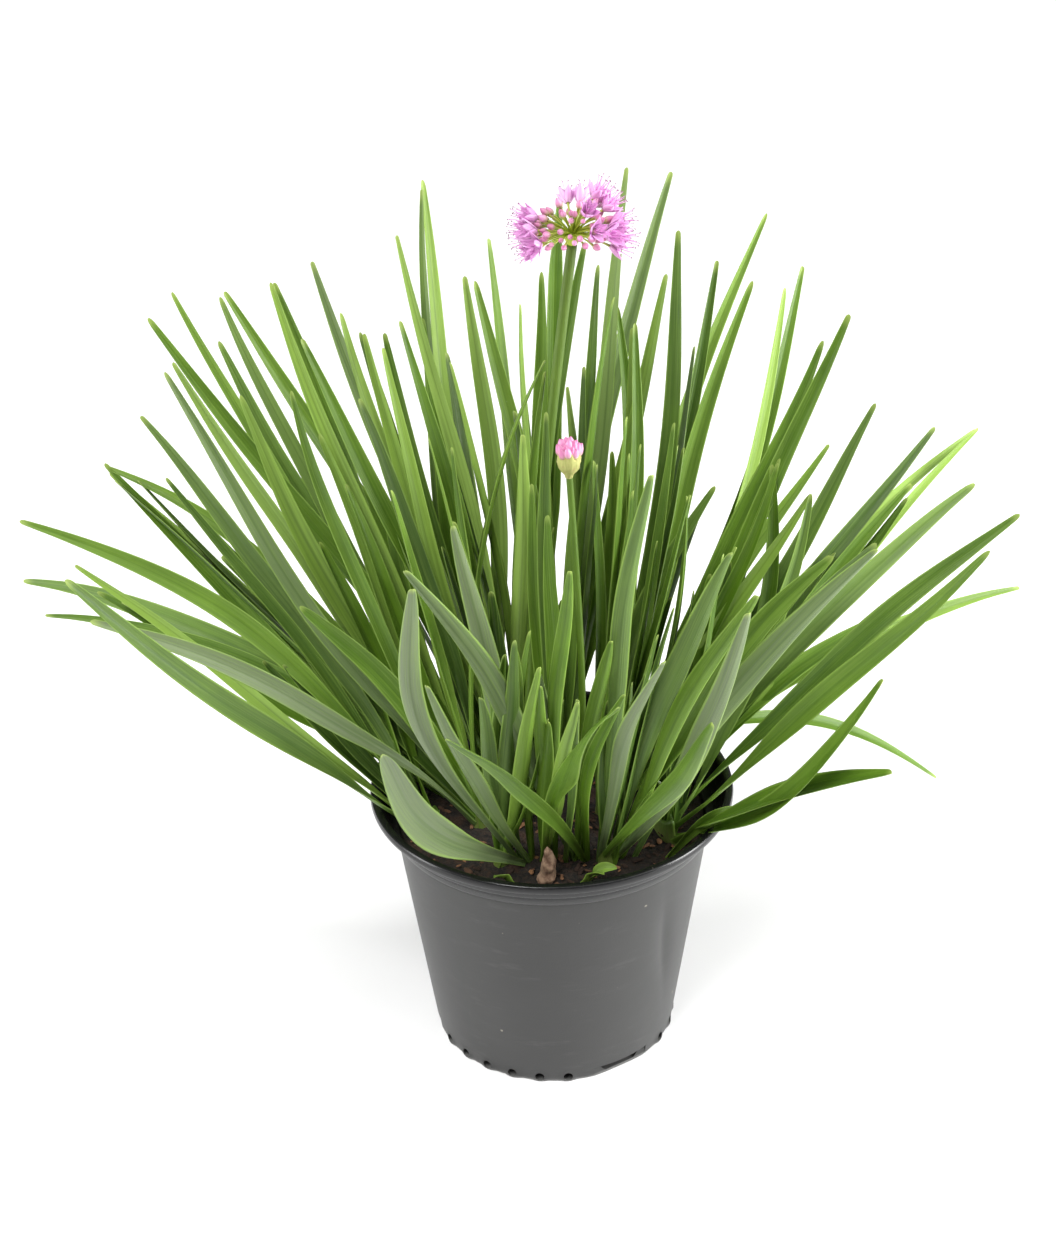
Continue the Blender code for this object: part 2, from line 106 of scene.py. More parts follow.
class Finish:
    """A material whose surface is worked out by nodes."""

    def __init__(self, name, **fixed):
        self.material = bpy.data.materials.new(name)
        self.material.use_nodes = True
        self.tree = self.material.node_tree
        self.shader = self.tree.nodes["Principled BSDF"]
        self.put(**fixed)

    def put(self, **sockets):
        """Set or link the shader's sockets; an underscore in a name stands for a space."""
        for name, value in sockets.items():
            self.feed(self.shader.inputs[name.replace("_", " ")], value)

    def feed(self, socket, value):
        if isinstance(value, Value):
            self.tree.links.new(value.socket, socket)
        else:
            socket.default_value = value

    def node(self, kind, settings, sockets, output=0):
        """Add a node: its settings first, then the values or links of its sockets."""
        node = self.tree.nodes.new("ShaderNode" + kind)
        for name, value in settings.items():
            setattr(node, name, value)
        for name, value in sockets.items():
            self.feed(node.inputs[name], value)
        return Value(self.tree, node.outputs[output])

    def mix(self, factor, low, high):
        """Mix two colours, each a value or red, green and blue."""
        low, high = (colour if isinstance(colour, Value) else (*colour, 1.0) for colour in (low, high))
        return self.node("Mix", {"data_type": "RGBA"}, {0: factor, 6: low, 7: high}, 2)

    def coats(self, base, *layers):
        """Lay coats over a colour, each a share and a colour."""
        for share, colour in layers:
            base = self.mix(share, base, colour)
        return base

    def noise(self, place, scale, detail=3.0, roughness=0.5):
        sockets = {"Vector": place, "Scale": scale, "Detail": detail, "Roughness": roughness}
        return self.node("TexNoise", {}, sockets)

    def band(self, value, low, high):
        """Return 0 below low, 1 above high and a smooth step between them."""
        settings = {"interpolation_type": "SMOOTHSTEP"}
        return self.node("MapRange", settings, {0: value, 1: low, 2: high, 3: 0.0, 4: 1.0})

    def parts(self, vector):
        """Return a vector's X, Y and Z."""
        return [self.node("SeparateXYZ", {}, {0: vector}, k) for k in range(3)]

    def joined(self, x, y, z):
        return self.node("CombineXYZ", {}, {0: x, 1: y, 2: z})

    def bump(self, height, distance, strength=1.0):
        self.put(Normal=self.node("Bump", {}, {"Height": height, "Distance": distance, "Strength": strength}))

    def place(self):
        """Return the place on the object, in metres."""
        return self.node("TexCoord", {}, {}, 3)

    def attribute(self, name):
        return self.node("Attribute", {"attribute_name": name}, {}, 1)


def leaf_finish():
    """Strap leaf: green with a bluish bloom, veins, pale margins and tip, a foot darkened by painted shade,
    and pale specks.
    """
    leaf = Finish("leaf_blade", Specular_IOR_Level=0.27)
    across, along, tone = leaf.parts(leaf.attribute("leaf_place"))
    run_across, run_along, pale = leaf.parts(leaf.attribute("leaf_run"))
    veins = leaf.noise(leaf.joined(run_across * 2.2, run_along * 0.02, tone * 50), 1.0, 3.0, 0.6)
    mottle = leaf.noise(leaf.joined(run_across * 0.12, run_along * 0.035, tone * 90), 1.0, 2.0)
    specks = leaf.noise(leaf.joined(run_across, run_along, tone * 70), 1.1, 2.0, 0.7)
    streaks = leaf.noise(leaf.joined(run_across * 0.5, run_along * 0.008, tone * 30), 1.0, 2.0)
    dust = leaf.band(specks, 0.74, 0.80) * leaf.band(mottle, 0.5, 0.62)
    blade = leaf.coats(
        leaf.mix(mottle, (0.033, 0.084, 0.004), (0.118, 0.232, 0.012)),
        (leaf.band(tone, 0.55, 0.95) * 0.9, (0.165, 0.202, 0.118)),
        (leaf.band(pale, 0.0, 1.0), (0.330, 0.500, 0.090)),
        (leaf.band(pale, 0.0, -1.0), (0.026, 0.060, 0.008)),
        (leaf.band(veins, 0.35, 0.75) * 0.4, (0.185, 0.290, 0.050)),
        ((1 - leaf.band(abs(across), 0.0, 0.16)) * 0.3, (0.040, 0.090, 0.010)),
        (leaf.band(streaks, 0.45, 0.75) * 0.45, (0.040, 0.090, 0.012)),
        (leaf.band(abs(across), 0.80, 0.95) * 0.55, (0.270, 0.420, 0.075)),
        # painted shade: the foot of each blade is darkened as if shaded low in the clump
        ((1 - leaf.band(along, 0.02, 0.18)) * 0.6, (0.066, 0.140, 0.010)),
        (leaf.band(along, 0.965, 1.0) * 0.7, (0.330, 0.430, 0.100)),
        (dust * 0.5, (0.550, 0.620, 0.480)))
    leaf.put(Base_Color=blade, Roughness=0.30 + mottle * 0.20 + dust * 0.2)
    leaf.bump(veins, 0.00035, 0.6)
    return leaf.material


def sheath_finish():
    """Fleshy neck of a shoot: olive at the foot, greener above, ribbed along its length."""
    neck = Finish("neck_sheath", Roughness=0.45)
    x, y, z = neck.parts(neck.place())
    ribs = neck.noise(neck.joined(x * 900, y * 900, z * 60), 1.0, 2.0)
    height = neck.band(z, soil_top, soil_top + 16 * MM)
    neck.put(Base_Color=neck.coats(
        neck.mix(height, (0.120, 0.150, 0.035), (0.070, 0.145, 0.012)),
        (neck.band(ribs, 0.4, 0.7) * 0.5, (0.110, 0.220, 0.025))))
    neck.bump(ribs, 0.0004, 0.6)
    return neck.material


def scape_finish():
    """Flower stalk: round, olive green and faintly ribbed."""
    scape = Finish("flower_stalk", Roughness=0.5, Specular_IOR_Level=0.3)
    x, y, z = scape.parts(scape.place())
    ribs = scape.noise(scape.joined(x * 1400, y * 1400, z * 30), 1.0, 2.0)
    cloud = scape.noise(scape.place(), 40.0)
    scape.put(Base_Color=scape.coats(
        scape.mix(cloud, (0.062, 0.125, 0.010), (0.110, 0.195, 0.016)),
        (scape.band(z, soil_top + 150 * MM, soil_top + 290 * MM) * 0.4, (0.085, 0.125, 0.012)),
        (scape.band(ribs, 0.4, 0.7) * 0.4, (0.055, 0.100, 0.012))))
    scape.bump(ribs, 0.0003, 0.5)
    return scape.material


def tepal_finish():
    """Tepal: lilac pink, paler towards its foot, with a darker midrib."""
    tepal = Finish("tepal", Roughness=0.55)
    across, along, tone = tepal.parts(tepal.attribute("leaf_place"))
    veins = tepal.noise(tepal.joined(across * 6, along * 0.8, tone * 60), 1.0, 2.0)
    tepal.put(Base_Color=tepal.coats(
        tepal.mix(tone, (0.760, 0.330, 0.680), (0.860, 0.480, 0.800)),
        ((1 - tepal.band(along, 0.0, 0.5)) * 0.5, (0.880, 0.600, 0.830)),
        ((1 - tepal.band(abs(across), 0.05, 0.35)) * 0.35, (0.560, 0.160, 0.460)),
        (veins * 0.3, (0.820, 0.450, 0.800))))
    tepal.bump(veins, 0.0002, 0.5)
    return tepal.material


def bud_finish():
    """Closed bud: rose pink with a green foot and a darker point."""
    bud = Finish("closed_bud", Roughness=0.45)
    across, along, tone = bud.parts(bud.attribute("leaf_place"))
    stripes = bud.band((across * math.pi * 6).sine(), 0.2, 0.9)
    bud.put(Base_Color=bud.coats(
        bud.mix(tone, (0.560, 0.150, 0.330), (0.740, 0.330, 0.560)),
        ((1 - bud.band(along, 0.05, 0.7)) * 0.85, (0.430, 0.450, 0.110)),
        (bud.band(along, 0.8, 1.0) * 0.5, (0.400, 0.080, 0.200)),
        (stripes * 0.25, (0.830, 0.540, 0.640))))
    return bud.material


def pedicel_finish():
    """Flower stalklets: yellow-green, flushed towards the flower."""
    stalk = Finish("pedicel", Roughness=0.45)
    across, along, tone = stalk.parts(stalk.attribute("leaf_place"))
    stalk.put(Base_Color=stalk.coats(
        stalk.mix(along, (0.460, 0.560, 0.030), (0.420, 0.440, 0.090)),
        (tone * 0.4, (0.240, 0.360, 0.025))))
    return stalk.material


def plain_finish(name, low, high, scale, roughness, bump=0.0002):
    """A small piece's finish: two colours in fine clouds."""
    plain = Finish(name, Roughness=roughness)
    cloud = plain.noise(plain.place(), scale, 4.0, 0.6)
    plain.put(Base_Color=plain.mix(plain.band(cloud, 0.35, 0.65), low, high))
    plain.bump(cloud, bump, 0.7)
    return plain.material


def spathe_finish():
    """Papery spathe: straw with greenish veins and brown patches, rough."""
    spathe = Finish("papery_spathe", Roughness=0.7)
    x, y, z = spathe.parts(spathe.place())
    veins = spathe.noise(spathe.joined(x * 1200, y * 1200, z * 120), 1.0, 3.0, 0.6)
    spathe.put(Base_Color=spathe.coats(
        spathe.mix(veins, (0.480, 0.440, 0.170), (0.270, 0.320, 0.060)),
        (spathe.band(spathe.noise(spathe.place(), 500.0), 0.55, 0.7) * 0.5, (0.36, 0.20, 0.10))))
    spathe.bump(veins, 0.0004, 0.8)
    return spathe.material


def soil_finish():
    """Moist potting mix: dark crumbs with reddish bark fibres and a few pale grains."""
    soil = Finish("moist_mix", Roughness=0.95)
    place = soil.place()
    crumbs = soil.noise(place, 420.0, 6.0, 0.65)
    patches = soil.noise(place, 90.0, 3.0)
    grains = soil.node("TexVoronoi", {"feature": "F1"}, {"Vector": place, "Scale": 900.0})
    earth = soil.coats(
        soil.mix(soil.band(crumbs, 0.35, 0.65), (0.004, 0.003, 0.002), (0.026, 0.016, 0.009)),
        (soil.band(patches, 0.52, 0.68) * 0.6, (0.050, 0.022, 0.010)),
        (soil.band(crumbs, 0.68, 0.74) * 0.7, (0.200, 0.120, 0.060)))
    soil.put(Base_Color=earth, Roughness=0.75 + crumbs * 0.3)
    soil.bump(crumbs + grains * 0.4, 0.0012)
    return soil.material


def bark_finish():
    """Bark chips: reddish brown to tan, with a fibrous grain."""
    bark = Finish("bark_chip", Roughness=0.85)
    across, along, tone = bark.parts(bark.attribute("leaf_place"))
    grain = bark.noise(bark.joined(across * 5, along, tone * 80), 2.0, 4.0, 0.7)
    bark.put(Base_Color=bark.coats(
        bark.mix(bark.band(tone, 0.1, 0.9), (0.034, 0.016, 0.008), (0.330, 0.160, 0.070)),
        (bark.band(grain, 0.4, 0.7) * 0.6, (0.020, 0.010, 0.006))))
    bark.bump(grain, 0.0004)
    return bark.material


def pot_finish():
    """Thin black nursery plastic: greyer and duller on the wall, glossy at the rim and darkened there by
    painted shade, with scuffs.
    """
    pot = Finish("nursery_plastic", Specular_IOR_Level=0.42)
    place = pot.place()
    x, y, z = pot.parts(place)
    cloud = pot.noise(place, 16.0, 3.0)
    grain = pot.noise(place, 1500.0, 2.0)
    scuffs = pot.noise(pot.joined(x * 40, y * 40, z * 160), 1.0, 4.0, 0.7)
    # painted shade: this mask darkens the rim and collar as if shaded by the leaves, and also makes them
    # glossier
    collar = pot.band(z, pot_height - 19 * MM, pot_height - 10 * MM)
    dust = pot.band(pot.noise(place, 260.0, 2.0), 0.76, 0.80)
    black = pot.coats(
        pot.mix(cloud, (0.020, 0.020, 0.0193), (0.036, 0.036, 0.0347)),
        (pot.band(scuffs, 0.55, 0.80) * 0.12, (0.16, 0.16, 0.155)),
        (1 - pot.band(z, 0.6 * MM, 2.2 * MM), (0.13, 0.13, 0.125)),
        # painted shade laid over the rim and collar
        (collar, (0.005, 0.005, 0.0055)),
        (dust * 0.6, (0.35, 0.32, 0.26)))
    pot.put(Base_Color=black, Roughness=0.36 + cloud * 0.10 + dust * 0.2 - collar * 0.20)
    pot.bump(grain * 0.25 + cloud * 3.0 + scuffs * 0.3, 0.0004, 0.5)
    return pot.material


def floor_finish():
    """Plain pale floor."""
    floor = Finish("pale_floor", Roughness=0.9)
    cloud = floor.noise(floor.place(), 3.0)
    floor.put(Base_Color=floor.mix(cloud, (0.86, 0.86, 0.86), (0.88, 0.88, 0.88)))
    return floor.material


# Shapes

def new_object(name, data):
    """Make an object and put it in the scene."""
    made = bpy.data.objects.new(name, data)
    bpy.context.scene.collection.objects.link(made)
    return made


def solids_of(name, groups, materials, replaces=(), smooth=True):
    """Make one piece on the plant from groups of (points, faces, places, runs, material number)."""
    points, group_faces, places, runs, group_numbers = zip(*groups)
    faces, numbers, start = [], [], 0
    for group, number, count in zip(group_faces, group_numbers, map(len, points)):
        faces.extend([tuple(int(k) + start for k in face) for face in group])
        numbers.extend([number] * len(group))
        start += count
    mesh = bpy.data.meshes.new(name)
    mesh.from_pydata(np.concatenate(points).tolist(), [], faces)
    for attribute, values in (("leaf_place", places), ("leaf_run", runs)):
        layer = mesh.attributes.new(attribute, "FLOAT_VECTOR", "POINT")
        layer.data.foreach_set("vector", np.concatenate(values).astype(np.float32).ravel())
    mesh.polygons.foreach_set("material_index", numbers)
    mesh.polygons.foreach_set("use_smooth", [smooth] * len(mesh.polygons))
    for material in materials:
        mesh.materials.append(material)
    mesh.update()
    settle(new_object(name, mesh), replaces)


def settle(piece, replaces=()):
    """Put a piece on the plant, in place of the plain solids that it stands for."""
    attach(piece, "root")
    if replaces:
        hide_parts(*replaces)


def tube_faces(rings, sides, closed_ends=True):
    """Return the faces of a tube whose points run ring by ring."""
    faces = []
    for ring in range(rings - 1):
        for k in range(sides):
            after = (k + 1) % sides
            low, high = ring * sides, (ring + 1) * sides
            faces.append((low + k, low + after, high + after, high + k))
    if closed_ends:
        faces.append(tuple(range(sides))[::-1])
        faces.append(tuple(range((rings - 1) * sides, rings * sides)))
    return faces


def along_curve(values, shares):
    """Return a smooth curve through rows of values, read at shares of its length between 0 and 1."""
    values = np.asarray(values, float)
    count = len(values)
    place = np.clip(np.asarray(shares) * (count - 1), 0, count - 1 - 1e-9)
    k = place.astype(int)
    t = (place - k)[:, None]
    before, after = np.maximum(k - 1, 0), np.minimum(k + 2, count - 1)
    p0, p1, p2, p3 = values[before], values[k], values[k + 1], values[after]
    return p1 + 0.5 * t * (p2 - p0 + t * (2 * p0 - 5 * p1 + 4 * p2 - p3 + t * (3 * (p1 - p2) + p3 - p0)))


def unit(vectors):
    return vectors / np.linalg.norm(vectors, axis=-1, keepdims=True)


def spoke(angle, radius, height=0.0):
    """Return the point at an angle and radius about the upright axis, and at a height."""
    return np.array([radius * math.cos(angle), radius * math.sin(angle), height])


def ringed_solid(levels, sides, point_at, closed_ends=True):
    """Return a solid with a ring of points at each level, found by point_at(level's number, level, angle)."""
    angles = np.linspace(0, 2 * math.pi, sides, endpoint=False)
    points = np.array([point_at(k, level, angle) for k, level in enumerate(levels) for angle in angles])
    blank = np.zeros((len(points), 3))
    return points, tube_faces(len(levels), sides, closed_ends), blank, blank, 0


def stations_of(node, foot_size, foot_cost):
    """Read a long solid's points ring by ring, from the foot_size points of least foot_cost."""
    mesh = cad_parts[node].data
    points = np.array([vertex.co for vertex in mesh.vertices])
    keys = {}
    grid = np.round(points / (0.05 * MM)).astype(int)
    weld = np.array([keys.setdefault(tuple(cell), len(keys)) for cell in grid])
    points = points[[int(np.flatnonzero(weld == k)[0]) for k in range(len(keys))]]
    near = [set() for _ in keys]
    for edge in mesh.edges:
        a, b = (int(weld[k]) for k in edge.vertices)
        near[a].add(b)
        near[b].add(a)
    level = [int(k) for k in np.argsort([foot_cost(point) for point in points])[:foot_size]]
    seen = set(level)
    levels = []
    while level:
        levels.append(points[level])
        level = sorted({b for a in level for b in near[a]} - seen)
        seen.update(level)
    return levels


def leaf_line(node):
    """Read a leaf solid as centres, sides, upper directions and half widths along its length."""
    def foot_cost(point):
        return abs(point[2] - soil_top) + 0.2 * math.hypot(point[0], point[1])

    levels = [level for level in stations_of(node, 6, foot_cost) if len(level) == 6]
    centres = np.array([level.mean(0) for level in levels])
    along = unit(np.gradient(centres, axis=0))
    sides, uppers, halves = [], [], []
    for level, centre, ahead in zip(levels, centres, along):
        offsets = level - centre
        side = np.linalg.svd(offsets)[2][0]
        side = unit(side - ahead * side.dot(ahead))
        if sides and side.dot(sides[-1]) < 0:
            side = -side
        reach = np.abs(offsets @ side)
        upper = np.cross(ahead, side)
        outer = reach > 0.5 * reach.max()
        if (offsets[outer].mean(0) - offsets[~outer].mean(0)).dot(upper) < 0:
            upper = -upper
        sides.append(side)
        uppers.append(upper)
        halves.append(reach.max())
    return centres, np.array(sides), np.array(uppers), np.array(halves)


ACROSS = np.array([-1.0, -0.9, -0.62, -0.3, 0.0, 0.3, 0.62, 0.9, 1.0])    # a blade's upper face, edge to edge
AROUND = np.concatenate([ACROSS, ACROSS[-2:0:-1]])
TIP_STATIONS = 8


def leaf_outline(halves, shares, tip_share, pointed):
    """Return half widths: narrow at the foot, widest about the middle, tapering to a rounded tip."""
    half = along_curve(np.maximum.accumulate(halves)[:, None], shares)[:, 0]
    half = half * (0.60 + 0.40 * smooth_step(shares / 0.55))
    half = half * (1 - 0.78 * np.clip((shares - 0.5) / 0.5, 0, 1) ** 2)
    end = np.clip((shares - (1 - tip_share)) / tip_share, 0, 1)
    return half * np.sqrt(np.maximum(1 - end ** (2 + pointed), 0)) + 0.05 * MM


def leaf_solid(centres, sides, uppers, halves, tone, pointed, pale=0.0, thickness=0.9 * MM, count=44):
    """Return the solid of one strap leaf: a fleshy blade with a channel, thin margins and a closed tip."""
    length = np.linalg.norm(np.diff(centres, axis=0), axis=1).sum()
    tip_share = halves.max() * 0.33 * (1.8 + 5.0 * pointed) / length
    body = np.linspace(0, 1 - tip_share, count - TIP_STATIONS, endpoint=False)
    rounding = np.sin(np.linspace(0, math.pi / 2, TIP_STATIONS))
    shares = np.concatenate([body, 1 - tip_share * (1 - rounding)])
    line = along_curve(centres, shares)
    side = unit(along_curve(sides, shares))
    upper = unit(along_curve(uppers, shares))
    half = leaf_outline(halves, shares, tip_share, pointed)
    drift = rng.uniform(0, 6.28, 3)
    wave = np.sin(shares * 9 + drift[0]) * 0.4 + np.sin(shares * 17 + drift[1]) * 0.2
    fade = np.sin(np.clip(shares, 0, 1) * math.pi) ** 0.5
    line = line + upper * (wave * fade * 0.6 * MM)[:, None]
    sway = np.sin(shares * 2 * math.pi + drift[2]) - math.sin(drift[2])
    line = line + side * (sway * np.sin(shares * math.pi) * length * 0.008)[:, None]
    half = half * (1 + 0.05 * np.sin(shares * 7 + drift[2]))
    foot = np.clip(1 - shares / 0.12, 0, 1)
    channel = 0.34 + 0.6 * foot
    fat = thickness * (1 + 0.8 * foot) * (1 - 0.75 * shares ** 4)
    rows = []
    for k, u in enumerate(AROUND):
        row = line + side * (u * half * (1 - 0.25 * foot))[:, None]
        row = row + upper * (channel * half * abs(u) ** 1.25)[:, None]
        if k >= len(ACROSS):
            row = row - upper * (fat * (1 - abs(u) ** 3) * 0.9 + 0.12 * MM)[:, None]
        rows.append(row)
    points = np.stack(rows, axis=1).reshape(-1, 3)
    around, along = np.tile(AROUND, count), np.repeat(shares, len(AROUND))
    places = np.stack([around, along, np.full(len(points), tone)], axis=1)
    widths = around * np.repeat(half, len(AROUND))
    runs = np.stack([widths / MM, along * length / MM, np.full(len(points), pale)], axis=1)
    return points, [face[::-1] for face in tube_faces(count, len(AROUND))], places, runs, 0


def smooth_step(t):
    t = np.clip(t, 0, 1)
    return t * t * (3 - 2 * t)


def leaf_path(foot, tip, drawn, width, turn, first_side):
    """Return the stations of a leaf whose middle is drawn aside and whose blade turns as it opens."""
    foot, tip = np.array(foot, float), np.array(tip, float)
    chord = tip - foot
    middle = foot + chord / 2 + 2 * MM * np.array([drawn[0], 0, drawn[1]])
    outward = unit(np.array([-chord[1], chord[0], 0.0]) + (1e-9, 0, 0))
    first_side = np.asarray(first_side, float)
    if outward.dot(first_side) < 0:
        first_side = -first_side
    centres, sides, uppers, halves = [], [], [], []
    for t in np.linspace(0, 1, 13):
        centres.append((1 - t) ** 2 * foot + 2 * t * (1 - t) * middle + t * t * tip)
        along = unit((1 - t) * (middle - foot) + t * (tip - middle))
        side = first_side + (outward - first_side) * smooth_step(t / 0.35)
        side = unit(side - along * side.dot(along))
        spin = Matrix.Rotation(math.radians(turn * smooth_step(t / 0.5)), 3, Vector(along))
        side = np.array(spin @ Vector(side))
        body = 5 * MM + (width - 5 * MM) * smooth_step(t / 0.5)
        taper = max(0.0, 1 - max(0.0, (t - 0.5) / 0.5) ** 2) ** 0.65
        sides.append(side)
        uppers.append(np.cross(along, side))
        halves.append(max(body * taper, 2.2 * MM) / 2)
    return np.array(centres), np.array(sides), np.array(uppers), np.array(halves)


def round_stalk(line, radii, tone=0.5, sides=12, number=0):
    """Return the solid of a round stalk along a line of points."""
    line = np.asarray(line, float)
    radii = np.broadcast_to(radii, len(line))
    along = unit(np.gradient(line, axis=0))
    across = unit(np.cross(along, (0.31, 0.95, 0.05)))
    other = np.cross(along, across)
    points, places = [], []
    for k, share in enumerate(np.linspace(0, 1, len(line))):
        for side in range(sides):
            angle = 2 * math.pi * side / sides
            points.append(line[k] + (across[k] * math.cos(angle) + other[k] * math.sin(angle)) * radii[k])
            places.append((side / sides, share, tone))
    return np.array(points), tube_faces(len(line), sides), np.array(places), np.array(places), number


# Leaves

# How pale and bluish each named leaf's bloom is, where it isn't left to chance
BLOOM = {"mid_left_1": 0.9, "right_1": 0.5, "right_2": 0.5, "right_3": 0.6, "right_4": 0.5}

# How far the middle of a leaf is drawn sideways and up (mm) from its solid's even curve
DRAWN = {"left_2": (5, 15), "left_3": (5, 5), "left_rear_1": (0, 5), "left_rear_2": (-5, -5),
         "rear_left_1": (-10, 0), "mid_left_3": (5, 0), "mid_left_4": (5, 0), "rear_3": (-5, 0),
         "rear_1": (-10, 0), "rear_right_4": (-10, 0), "rear_right_3": (10, 0), "mid_right_2": (-10, 0),
         "mid_right_1": (5, 0), "right_rear_2": (0, 10), "right_5": (0, 10), "right_4": (0, 5),
         "right_2": (5, -15), "right_1": (0, -5), "right_low_1": (0, -10)}

# How much wider a leaf is than its solid
WIDER = {"right_1": 1.3, "right_2": 1.15}

# Leaves between the solid ones, by shoot: the tip from the pot's axis and above the mix, the width, and
# how far the middle is drawn sideways and up, unless it isn't, all in mm
BETWEEN = {
    "left_rear": ((-240, 60, 80, 6, 0, 25), (-150, 70, 60, 9, 0, 10), (-205, 80, 145, 8),
                  (-170, 80, 200, 8), (-205, 75, 150, 8, 15, 20), (-135, 40, 200, 9, -5, 0)),
    "left": ((-170, 30, 165, 6, 0, 5), (-210, 5, 135, 7, 0, 5), (-150, 40, 120, 7, 10, 10)),
    "mid_left": ((-150, 40, 120, 9, 0, 5), (-100, 30, 185, 9), (-65, -40, 190, 8),
                 (-120, 60, 245, 8, -5, 0), (0, 0, 230, 9, -15, 10), (-80, 10, 210, 9, 5, 5),
                 (-110, 20, 210, 7, -10, 0), (-80, 60, 220, 8), (-110, -10, 120, 11, 5, 5)),
    "rear_left": ((-145, 90, 230, 9, 5, 0), (-35, 90, 235, 9, 5, 0), (-90, 60, 230, 8, -5, 0),
                  (-85, 100, 205, 8), (-150, 110, 220, 8, -10, 0), (-55, 140, 260, 6, -10, 0)),
    "inner_left": ((-105, 30, 230, 9), (-70, 30, 225, 8, -5, 0), (-40, -30, 170, 9), (0, 0, 225, 7, -5, 0),
                   (-40, 0, 230, 9, 5, 0), (-10, -20, 205, 9), (-50, -10, 200, 6, 0, 5),
                   (-40, -20, 200, 6, -5, 5)),
    "rear": ((-30, 70, 240, 9, 5, 0), (-10, 40, 240, 8, -5, 0), (0, 80, 240, 9), (25, 60, 250, 9),
             (30, 20, 250, 9, -5, 0), (20, 90, 250, 9, -10, 5), (55, 60, 245, 9, 0, 5),
             (10, 30, 205, 6, 5, 5), (40, 60, 220, 8, 10, 5)),
    "rear_right": ((60, 60, 265, 9, 5, 0), (80, 90, 240, 8), (130, 90, 200, 10, 5, 0),
                   (115, 120, 215, 8, 10, 0), (35, 100, 215, 8, 5, 5)),
    "mid_right": ((145, 0, 140, 9, 0, 5), (120, -30, 150, 8), (115, 0, 165, 8), (80, -30, 155, 9),
                  (40, 40, 230, 8, 5, 0), (60, -30, 180, 9), (40, -10, 195, 7, 0, 5), (55, 0, 200, 8, 5, 5),
                  (100, 0, 180, 7, 10, 0), (60, -10, 170, 7, 10, 0), (75, 20, 160, 9, -10, 5)),
    "right_rear": ((185, 90, 155, 9, 0, 5), (160, 60, 70, 9, 0, 10), (210, 110, 145, 6, 0, 10),
                   (170, 60, 140, 8, 0, 5), (100, 20, 170, 8, 15, -5)),
    "right": ((115, 0, 165, 8, 10, 0),),
    "front_right": ((45, -60, 130, 8), (120, -40, 155, 12, -10, 10)),
    "front": ((10, -105, 125, 7), (0, -20, 215, 7, 0, 5)),
    "front_left": ((-5, -85, 130, 8), (-15, -80, 140, 8)),
}

# Leaves at the front: name, the solid that it stands for, the foot's place across, the tip with its height
# above the mix unless the solid gives it, how far the middle is drawn sideways and up, and the width (mm), the
# ways that the upper face looks at foot and tip (degrees), and the bloom
FRONT = (
    ("front_left_broad", "front_left_1", -10, None, (-10, -5), 16, -60, -80, 0.9),
    ("front_left_tall", "front_left_2", -15, None, (-15, 5), 10, 60, 100, 0.9),
    ("front_left_short", "", -10, (-50, -120, 145), (-5, 0), 9, 80, 60, 0.8),
    ("front_left_crossing", "front_left_3", 10, None, (5, 5), 11, 110, 70, 0.8),
    ("front_curved", "front_right_5", 15, None, (5, 5), 9, -80, -120, 0.6),
    ("front_twisted", "front_1", -5, None, (-5, 10), 10, 140, -60, 0.4),
    ("front_thin", "", 5, (10, -100, 125), (0, 5), 6, 20, 60, 0.7),
    ("front_upright", "front_2", 0, None, (0, 15), 7, 60, 90, 0.3),
    ("front_right_grey", "front_right_3", 20, None, (0, 10), 8, 60, 120, 0.9),
    ("front_right_short", "front_right_2", 20, None, (5, 5), 9, 90, 30, 0.6),
    ("front_right_dark", "front_right_1", 25, None, (10, 0), 11, 40, 110, 1.0),
    ("front_right_wide", "", 25, (75, -60, 170), (0, 10), 12, 70, 120, 0.7),
    ("front_right_bright", "", 30, (85, -70, 155), (0, 10), 9, 60, 90, 0.2),
    ("front_right_sweeping", "", 35, (135, -60, 170), (-5, 10), 12, 50, 110, 0.8),
    ("front_centre_lime", "", -10, (-15, -75, 135), (0, 10), 6, 80, 80, 0.0),
    ("front_centre_left", "", -20, (-25, -60, 120), (0, 5), 9, 90, 60, 0.4),
    ("front_centre_grey", "", 0, (-5, -70, 120), (0, 5), 8, 90, 120, 0.8),
    ("front_centre_green", "", -5, (-5, -80, 120), (0, 5), 7, 60, 90, 0.2),
    ("centre_left_grey", "", -15, (-40, -40, 175), (0, 5), 10, 70, 110, 0.9),
    ("front_centre_short", "", -20, (-30, -80, 115), (0, 5), 8, 100, 60, 0.7),
    ("front_right_tall", "front_right_4", 20, None, (0, 15), 9, 60, 110, 0.7),
    ("front_centre_right", "", 10, (25, -70, 135), (0, 15), 7, 80, 100, 0.2),
    ("front_centre_thin", "", 15, (30, -80, 115), (-5, 5), 6, 60, 100, 0.4),
    ("right_scrap", "", 50, (95, -45, 30), (0, 10), 8, -60, -90, 0.1),
)


FRONT_ROW = -38.0    # how far forward the front leaves' feet stand (mm)


